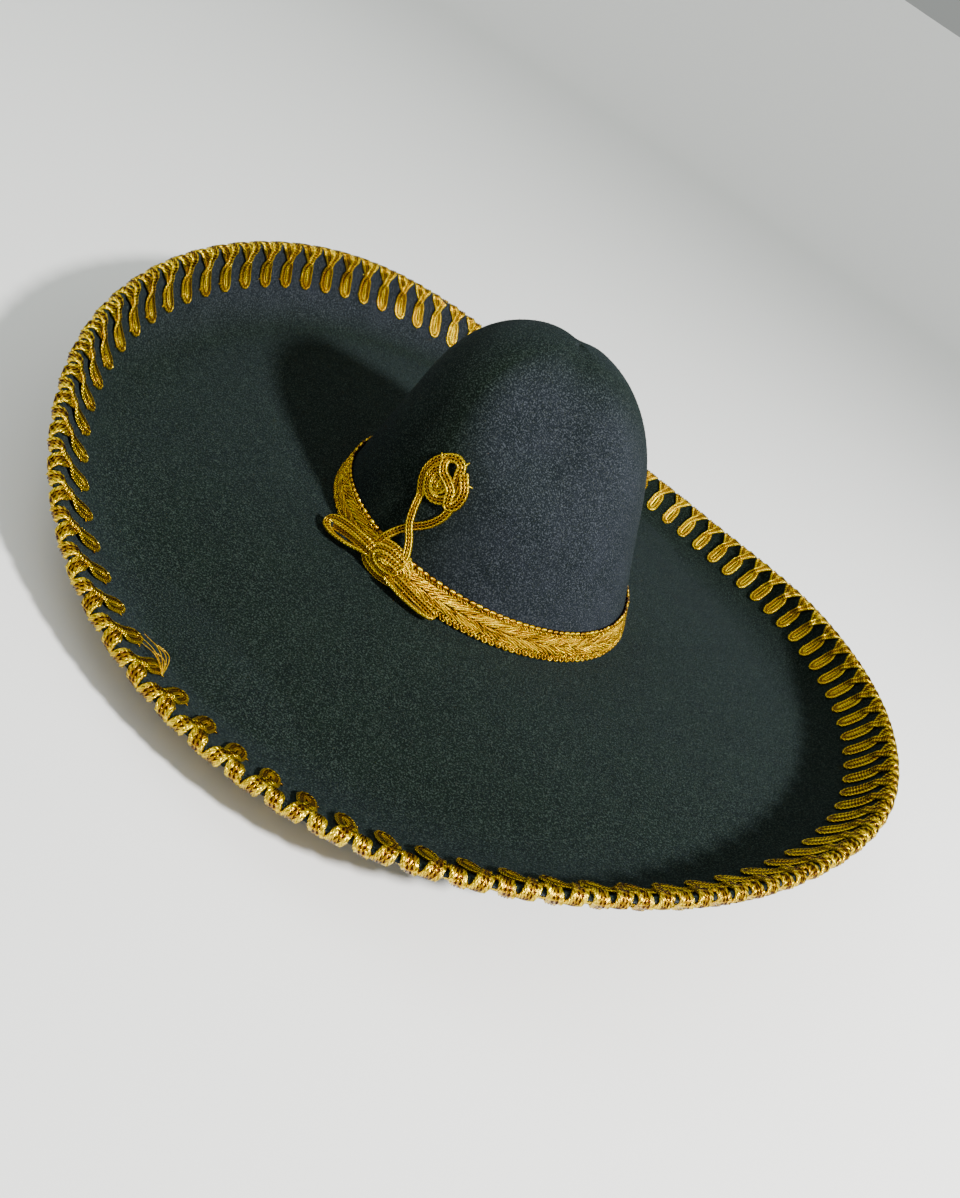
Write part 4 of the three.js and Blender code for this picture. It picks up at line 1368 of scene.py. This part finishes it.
@dataclass
class Bow:
    """The bow at the side: a wound knot, two loops, two cords up the crown and a wound rosette."""

    form: HatForm
    cord_tree: CordTree
    stitch_tree: StitchTree
    finish: bpy.types.Material
    thread_finish: bpy.types.Material
    width: float = 4.7
    thickness: float = 1.6
    step: float = 0.55
    stitch_depth: float = 0.3
    knot_turn: float = -114.5
    knot_rise: float = 8.0
    rosette_turn: float = -112.3
    rosette_rise: float = 57.8
    on_felt: float = 0.4
    on_band: float = 3.2

    def build(self) -> None:
        """Makes every piece of the bow and dresses it."""
        self.crown_cords()
        self.rosette()
        self.knot()
        self.loops()

    def cord(self, name: str, places: np.ndarray, facing: np.ndarray, swell: float = 1.0) -> bpy.types.Object:
        """Sweeps the cord along a path.

        Args:
            name: Name of the piece.
            places: Path on the form, in millimetres.
            facing: The side that the cord's face looks to.
            swell: Size of the cord's section, where it is pressed wider.

        Returns:
            The piece.
        """
        notes = {"facing": unit(facing), "swell": np.full(len(places), swell)}
        path = carrier(name + "_path", self.form.to_frame(places), notes, True)
        sizes = {
            "Width": self.width * MM,
            "Thickness": self.thickness * MM,
            "Rib_Steps": 4,
            "Stitch_Depth": self.stitch_depth * MM,
        }
        return self.cord_tree.apply(path, name, self.finish, **sizes)

    def crown_cords(self) -> None:
        """The two cords that cross on their way up the crown."""
        low = self.on_felt + self.thickness / 2
        high = low + self.thickness + 0.3
        band = self.on_band + self.thickness / 2
        # Rows of each cord: turn, height, lift
        over = [
            (-109.2, 12.0, band + 0.6),
            (-109.2, 17.0, band),
            (-111.0, 24.0, high + 0.4),
            (-114.2, 31.0, high + 0.4),
            (-116.4, 38.0, low + 0.5),
            (-117.2, 43.5, low),
            (-117.4, 48.0, low),
        ]
        under = [
            (-120.0, 12.0, band + 0.4),
            (-118.9, 18.0, band),
            (-116.6, 25.0, low),
            (-112.9, 31.0, low),
            (-109.2, 36.0, low),
            (-106.6, 41.0, low),
            (-105.0, 46.0, low),
            (-104.4, 52.0, low),
        ]
        for name, rows, node in (
            ("rosette_cord_over", over, "rosette_cord_left"),
            ("rosette_cord_under", under, "rosette_cord_right"),
        ):
            turn, height, lift = np.array(rows).T
            shape = self.form.on_crown(turn, height, lift)
            line = spline(np.column_stack([shape, turn, height]), self.step)
            turn, height = line[:, 3], line[:, 4]
            off = self.form.on_crown(turn, height, 5.0) - self.form.on_crown(turn, height, 0.0)
            settle_in(self.cord(name, line[:, :3], off), Slot.GOLD, node)

    def pad_path(
        self, flat: np.ndarray, turn: float, rise: float, lift: np.ndarray
    ) -> tuple[np.ndarray, np.ndarray]:
        """Lays a flat path on the crown.

        Args:
            flat: Rows of x along the band and y up the crown, from the pad's middle.
            turn: Turn of the middle.
            rise: Height of the middle.
            lift: Heights off the crown.

        Returns:
            Places, and the directions off the crown.
        """
        share = self.form.profile(self.form.level_at(np.array([rise])))[0][0]
        radius = float(self.form.foot_radius(np.array(turn))) * share
        turns = turn + np.degrees(flat[:, 0] / radius)
        heights = rise + flat[:, 1] * math.cos(math.radians(self.form.taper_angle))
        base = self.form.on_crown(turns, np.maximum(heights, 0.0), 0.0)
        off = unit(self.form.on_crown(turns, np.maximum(heights, 0.0), 3.0) - base)
        drop = np.minimum(heights, 0.0)[:, None] * np.array([0.0, 0.0, 1.0])
        return base + off * lift[:, None] + drop, off

    def wound(
        self,
        name: str,
        rows: Sequence[Sequence[float]],
        turn: float,
        rise: float,
        base: float,
        roll: float,
        swell: float,
    ) -> bpy.types.Object:
        """A cord wound flat on a pad.

        Args:
            name: Name of the piece.
            rows: x along the band, y up the crown, and height over the base.
            turn: Turn of the pad's middle.
            rise: Height of the pad's middle.
            base: Height of the lowest winding off the crown.
            roll: How far the cord's face rolls outwards from the pad's middle.
            swell: Size of the cord's section.

        Returns:
            The cord.
        """
        line = spline(rows, self.step)
        flat, lift = line[:, :2], line[:, 2] + base
        places, off = self.pad_path(flat, turn, rise, lift)
        outward, _ = self.pad_path(flat * 1.12, turn, rise, lift)
        return self.cord(name, places, off + roll * unit(outward - places), swell)

    def rosette(self) -> None:
        """The rosette, wound flat, with its eye up the crown inside the outer winding."""
        # Rows of each cord: x along the band, y up the crown, and height over the felt
        coil = [
            (-7.0, -12.4, 0.0),
            (-10.4, -6.4, 0.2),
            (-11.5, -0.6, 0.4),
            (-9.9, 5.6, 0.4),
            (-5.6, 11.0, 0.4),
            (0.0, 14.2, 0.6),
            (4.4, 12.8, 0.6),
            (5.6, 8.6, 0.5),
            (6.9, 3.4, 0.2),
            (7.2, -3.6, 0.2),
            (3.8, -7.8, 0.6),
            (-1.2, -9.4, 1.0),
            (-5.6, -6.6, 1.2),
            (-7.2, -1.6, 1.4),
            (-6.0, 3.4, 1.4),
            (-2.6, 5.0, 1.2),
            (0.8, 2.0, 1.0),
            (1.4, -2.6, 1.2),
            (-1.0, -4.8, 1.6),
            (-2.8, -2.2, 1.8),
            (-2.4, 1.6, 1.8),
        ]
        sash = [
            (-4.8, 12.4, -0.2),
            (-4.3, 8.6, 1.4),
            (-1.6, 5.0, 2.6),
            (2.8, 3.0, 3.0),
            (6.6, 0.0, 2.8),
            (7.6, -4.4, 2.0),
            (8.8, -7.6, 1.2),
            (11.8, -5.6, 1.0),
            (13.0, -1.0, 1.0),
            (12.6, 3.6, 1.0),
            (10.2, 7.4, 1.2),
            (7.4, 10.6, 0.2),
        ]
        base = self.on_felt + self.thickness / 2
        pad = (self.rosette_turn, self.rosette_rise, base, 0.15, 1.15)
        parts = [self.wound("rosette_coil", coil, *pad), self.wound("rosette_sash", sash, *pad)]
        # Thread ties at the edge: x, y, and the direction that they point in
        for x, y, angle in ((-7.5, 10.5, 130.0), (6.5, 15.5, 60.0), (14.0, 7.5, 10.0)):
            parts.append(self.tie(x, y, angle, self.rosette_turn, self.rosette_rise, 3.0, 4.2))
        settle_in(join("woven_rosette", parts), Slot.GOLD, "rosette")

    def tie(
        self, x: float, y: float, angle: float, turn: float, rise: float, lift: float, length: float
    ) -> bpy.types.Object:
        """One pointed thread tie on a pad.

        Args:
            x: Place along the band from the pad's middle.
            y: Place up the crown.
            angle: Direction that the thread points in, in degrees from the band's own.
            turn: Turn of the pad's middle.
            rise: Height of the pad's middle.
            lift: Height off the crown.
            length: Length of the thread.

        Returns:
            The tie.
        """
        reach = 0.5 * np.array([math.cos(math.radians(angle)), math.sin(math.radians(angle))])
        flat = np.array([[x, y], [x + reach[0], y + reach[1]]])
        places, off = self.pad_path(flat, turn, rise, np.full(2, lift))
        heading = np.tile(unit(places[1] - places[0]), (1, 1))
        notes = {"facing": off[:1], "heading": heading}
        points = carrier("tie_point", self.form.to_frame(places[:1]), notes, False)
        sizes = {"Length": length * MM, "Width": 1.0 * MM, "Height": 0.9 * MM, "Segments": 8, "Rings": 8}
        return self.stitch_tree.apply(points, "tie", self.thread_finish, **sizes)

    def knot(self) -> None:
        """The wrapped knot on the band, with the cord wound in from its ends to its middle."""
        # Rows of the cord: x along the band, y up the crown, and height over the band
        rows = [
            (14.0, 1.0, 0.6),
            (12.5, 7.0, 0.8),
            (4.0, 9.2, 0.9),
            (-5.5, 7.6, 1.0),
            (-11.2, 3.0, 1.3),
            (-12.6, -2.6, 1.7),
            (-9.0, -7.2, 2.2),
            (-1.5, -8.4, 2.6),
            (7.0, -7.4, 2.4),
            (13.6, -4.4, 1.8),
            (14.6, 1.6, 1.6),
            (9.0, 5.8, 2.6),
            (1.5, 6.6, 3.0),
            (-5.0, 4.2, 3.4),
            (-7.2, 0.2, 3.6),
            (-4.0, -3.8, 3.8),
            (3.5, -4.6, 3.9),
            (9.8, -2.8, 3.4),
            (11.8, 1.2, 3.4),
            (7.0, 3.6, 4.2),
            (0.5, 2.8, 4.9),
            (-2.2, 0.2, 4.9),
            (2.0, -1.4, 4.4),
            (8.0, 0.4, 3.0),
        ]
        parts = [self.wound("bow_knot", rows, self.knot_turn, self.knot_rise, self.on_band, 0.55, 1.1)]
        for x, y, angle in ((11.0, 3.5, 62.0), (12.0, 8.5, 75.0)):
            parts.append(self.tie(x, y, angle, self.knot_turn, self.knot_rise, self.on_band + 4.6, 9.0))
        settle_in(join("bow_knot_wraps", parts), Slot.GOLD, "bow_knot")

    def loops(self) -> None:
        """The folded ends of the bow, which stand off the band over the brim."""
        # Rows beside the crown's foot: turn, height, distance off it, and the face's angle above outward
        left_outer = [
            (-117.0, 9.6, 3.4, 40.0),
            (-120.5, 11.2, 4.6, 40.0),
            (-126.0, 11.0, 6.2, 40.0),
            (-131.5, 9.0, 7.8, 38.0),
            (-135.4, 6.2, 10.2, 34.0),
            (-136.2, 3.6, 12.6, 40.0),
            (-134.4, 2.2, 13.8, 80.0),
            (-131.0, 2.0, 13.0, 108.0),
            (-126.5, 3.4, 9.6, 112.0),
            (-122.5, 5.2, 6.0, 100.0),
            (-118.5, 6.2, 3.4, 80.0),
        ]
        left_inner = [
            (-118.0, 6.0, 3.8, 10.0),
            (-121.5, 7.4, 5.4, 5.0),
            (-125.5, 7.4, 7.2, 0.0),
            (-129.5, 6.2, 9.0, -5.0),
            (-133.4, 4.2, 11.2, 0.0),
        ]
        right_upper = [
            (-110.0, 8.2, 4.6, 20.0),
            (-105.0, 7.6, 5.2, 20.0),
            (-99.5, 6.4, 6.0, 20.0),
            (-95.0, 5.4, 6.8, 25.0),
            (-92.6, 4.4, 7.4, 50.0),
            (-93.0, 3.4, 8.6, 100.0),
            (-96.5, 3.1, 9.0, 112.0),
            (-101.5, 3.4, 8.4, 112.0),
            (-107.0, 4.4, 7.4, 100.0),
            (-110.5, 5.5, 6.6, 80.0),
        ]
        for name, paths, node in (
            ("bow_left_loop", (left_outer, left_inner), "bow_loop"),
            ("bow_right_loop", (right_upper,), "bow_tail"),
        ):
            parts = []
            for rows in paths:
                turn, height, off, look = np.array(rows).T
                shape = self.form.beside_crown(turn, height, off)
                line = spline(np.column_stack([shape, turn, look]), self.step)
                tilt = np.radians(line[:, 4])
                facing = polar(np.cos(tilt), line[:, 3], np.sin(tilt))
                parts.append(self.cord(name, line[:, :3], facing))
            settle_in(join(name, parts), Slot.GOLD, node)


@dataclass(frozen=True)
class Lamp:
    """One soft round lamp of the studio, by its direction and distance from the hat."""

    name: str
    turn: float
    rise: float
    distance: float
    watts: float
    radius: float
    colour: tuple[float, float, float] = (1.0, 1.0, 1.0)

    def build(self) -> None:
        """Makes the light."""
        data = bpy.data.lights.new(self.name, "POINT")
        data.energy = self.watts
        data.shadow_soft_size = self.radius
        data.color = self.colour
        lamp = bpy.data.objects.new(self.name, data)
        source = polar(math.cos(math.radians(self.rise)), self.turn, math.sin(math.radians(self.rise)))
        lamp.location = Vector(source * self.distance)
        bpy.context.scene.collection.objects.link(lamp)


@dataclass
class Studio:
    """Pale floor that rises to a low backdrop, soft light, and the camera at the photograph's angle."""

    form: HatForm
    lamps: tuple[Lamp, ...] = (
        Lamp("key", turn=-32.0, rise=43.0, distance=1.50, watts=215.0, radius=0.07, colour=(1.0, 0.99, 0.97)),
        Lamp("fill", turn=155.0, rise=50.0, distance=2.2, watts=45.0, radius=0.7, colour=(0.95, 1.0, 0.96)),
    )
    floor_radius: float = 3.2
    wall_radius: float = 1.1
    wall_steps: int = 10
    pale: tuple[float, float, float, float] = (0.90, 0.90, 0.89, 1.0)
    sky_low: float = 0.28
    sky_high: float = 0.78
    eye: tuple[float, float, float] = (0.0, -496.5, 274.6)
    heading: float = 1.67
    tilt: float = 31.75
    roll: float = 34.53
    focal: float = 918.3
    frame_side: float = 1198.0
    sensor: float = 36.0

    def build(self) -> None:
        """Makes the stage, the lights and the camera."""
        self.stage()
        for lamp in self.lamps:
            lamp.build()
        world = bpy.data.worlds.new("studio")
        world.use_nodes = True
        bench = Bench(world.node_tree)
        way = bench.add("ShaderNodeTexCoord").outputs["Generated"]
        rise = bench.add("ShaderNodeSeparateXYZ", {"Vector": way}).outputs["Z"]
        limits = {"Value": rise, "To Min": self.sky_low, "To Max": self.sky_high}
        background = world.node_tree.nodes["Background"]
        background.inputs["Color"].default_value = (0.95, 1.0, 0.96, 1.0)
        bench.feed(background.inputs["Strength"], bench.add("ShaderNodeMapRange", limits).outputs[0])
        bpy.context.scene.world = world
        self.camera()

    def stage(self) -> None:
        """A round floor whose edge curves up."""
        angles = np.linspace(0.0, math.radians(78.0), self.wall_steps)
        radii = [0.02, 0.4, 1.2, *(self.floor_radius + self.wall_radius * np.sin(angles))]
        heights = [0.0, 0.0, 0.0, *(self.wall_radius * (1 - np.cos(angles)))]
        turns = np.arange(96) * 360.0 / 96
        rows = np.array([polar(radius, turns, height) for radius, height in zip(radii, heights)])
        faces = [tuple(face) for face in grid_faces(len(rows), len(turns))]
        faces.append(tuple(range(len(turns)))[::-1])
        floor = new_mesh("floor", rows.reshape(-1, 3), [face[::-1] for face in faces])
        material = bpy.data.materials.new("pale paper")
        material.use_nodes = True
        shader = material.node_tree.nodes["Principled BSDF"]
        shader.inputs["Base Color"].default_value = self.pale
        shader.inputs["Roughness"].default_value = 0.9
        shader.inputs["Specular IOR Level"].default_value = 0.1
        floor.data.materials.append(material)

    def camera(self) -> None:
        """The camera, from its heading, tilt and roll."""
        heading, tilt, roll = (math.radians(angle) for angle in (self.heading, self.tilt, self.roll))
        reach = math.cos(tilt)
        look = Vector((math.sin(heading) * reach, math.cos(heading) * reach, -math.sin(tilt)))
        level = look.cross(Vector((0.0, 0.0, 1.0))).normalized()
        rise = level.cross(look)
        right = level * math.cos(roll) + rise * math.sin(roll)
        up = rise * math.cos(roll) - level * math.sin(roll)
        turn = Matrix((right, up, -look)).transposed().to_4x4()
        data = bpy.data.cameras.new("camera")
        data.sensor_width = self.sensor
        data.lens = self.focal / self.frame_side * self.sensor
        data.clip_start = 0.01
        camera = bpy.data.objects.new("camera", data)
        camera.matrix_world = Matrix.Translation(self.form.to_frame(np.array(self.eye))) @ turn
        bpy.context.scene.collection.objects.link(camera)
        bpy.context.scene.camera = camera


def main() -> None:
    """Builds the hat's looks and the studio round it."""
    logging.basicConfig(level=logging.INFO, format="%(message)s")
    form = HatForm()
    Studio(form).build()
    cords = CordTree()
    stitches = StitchTree()
    cord_gold = PlaitedCord().build()
    stitch_gold = BandStitches().build()
    Felt(form).build()
    rim_gold = PlaitedCord("gold rim cord", ribs=4.0, stitch=1.7 * MM).build()
    RimCord(form, cords, stitches, rim_gold, stitch_gold, GoldThread().build()).build()
    Band(form, stitches, stitch_gold, BandGround().build()).build()
    Bow(form, cords, stitches, cord_gold, stitch_gold).build()


if __name__ == "__main__":
    main()
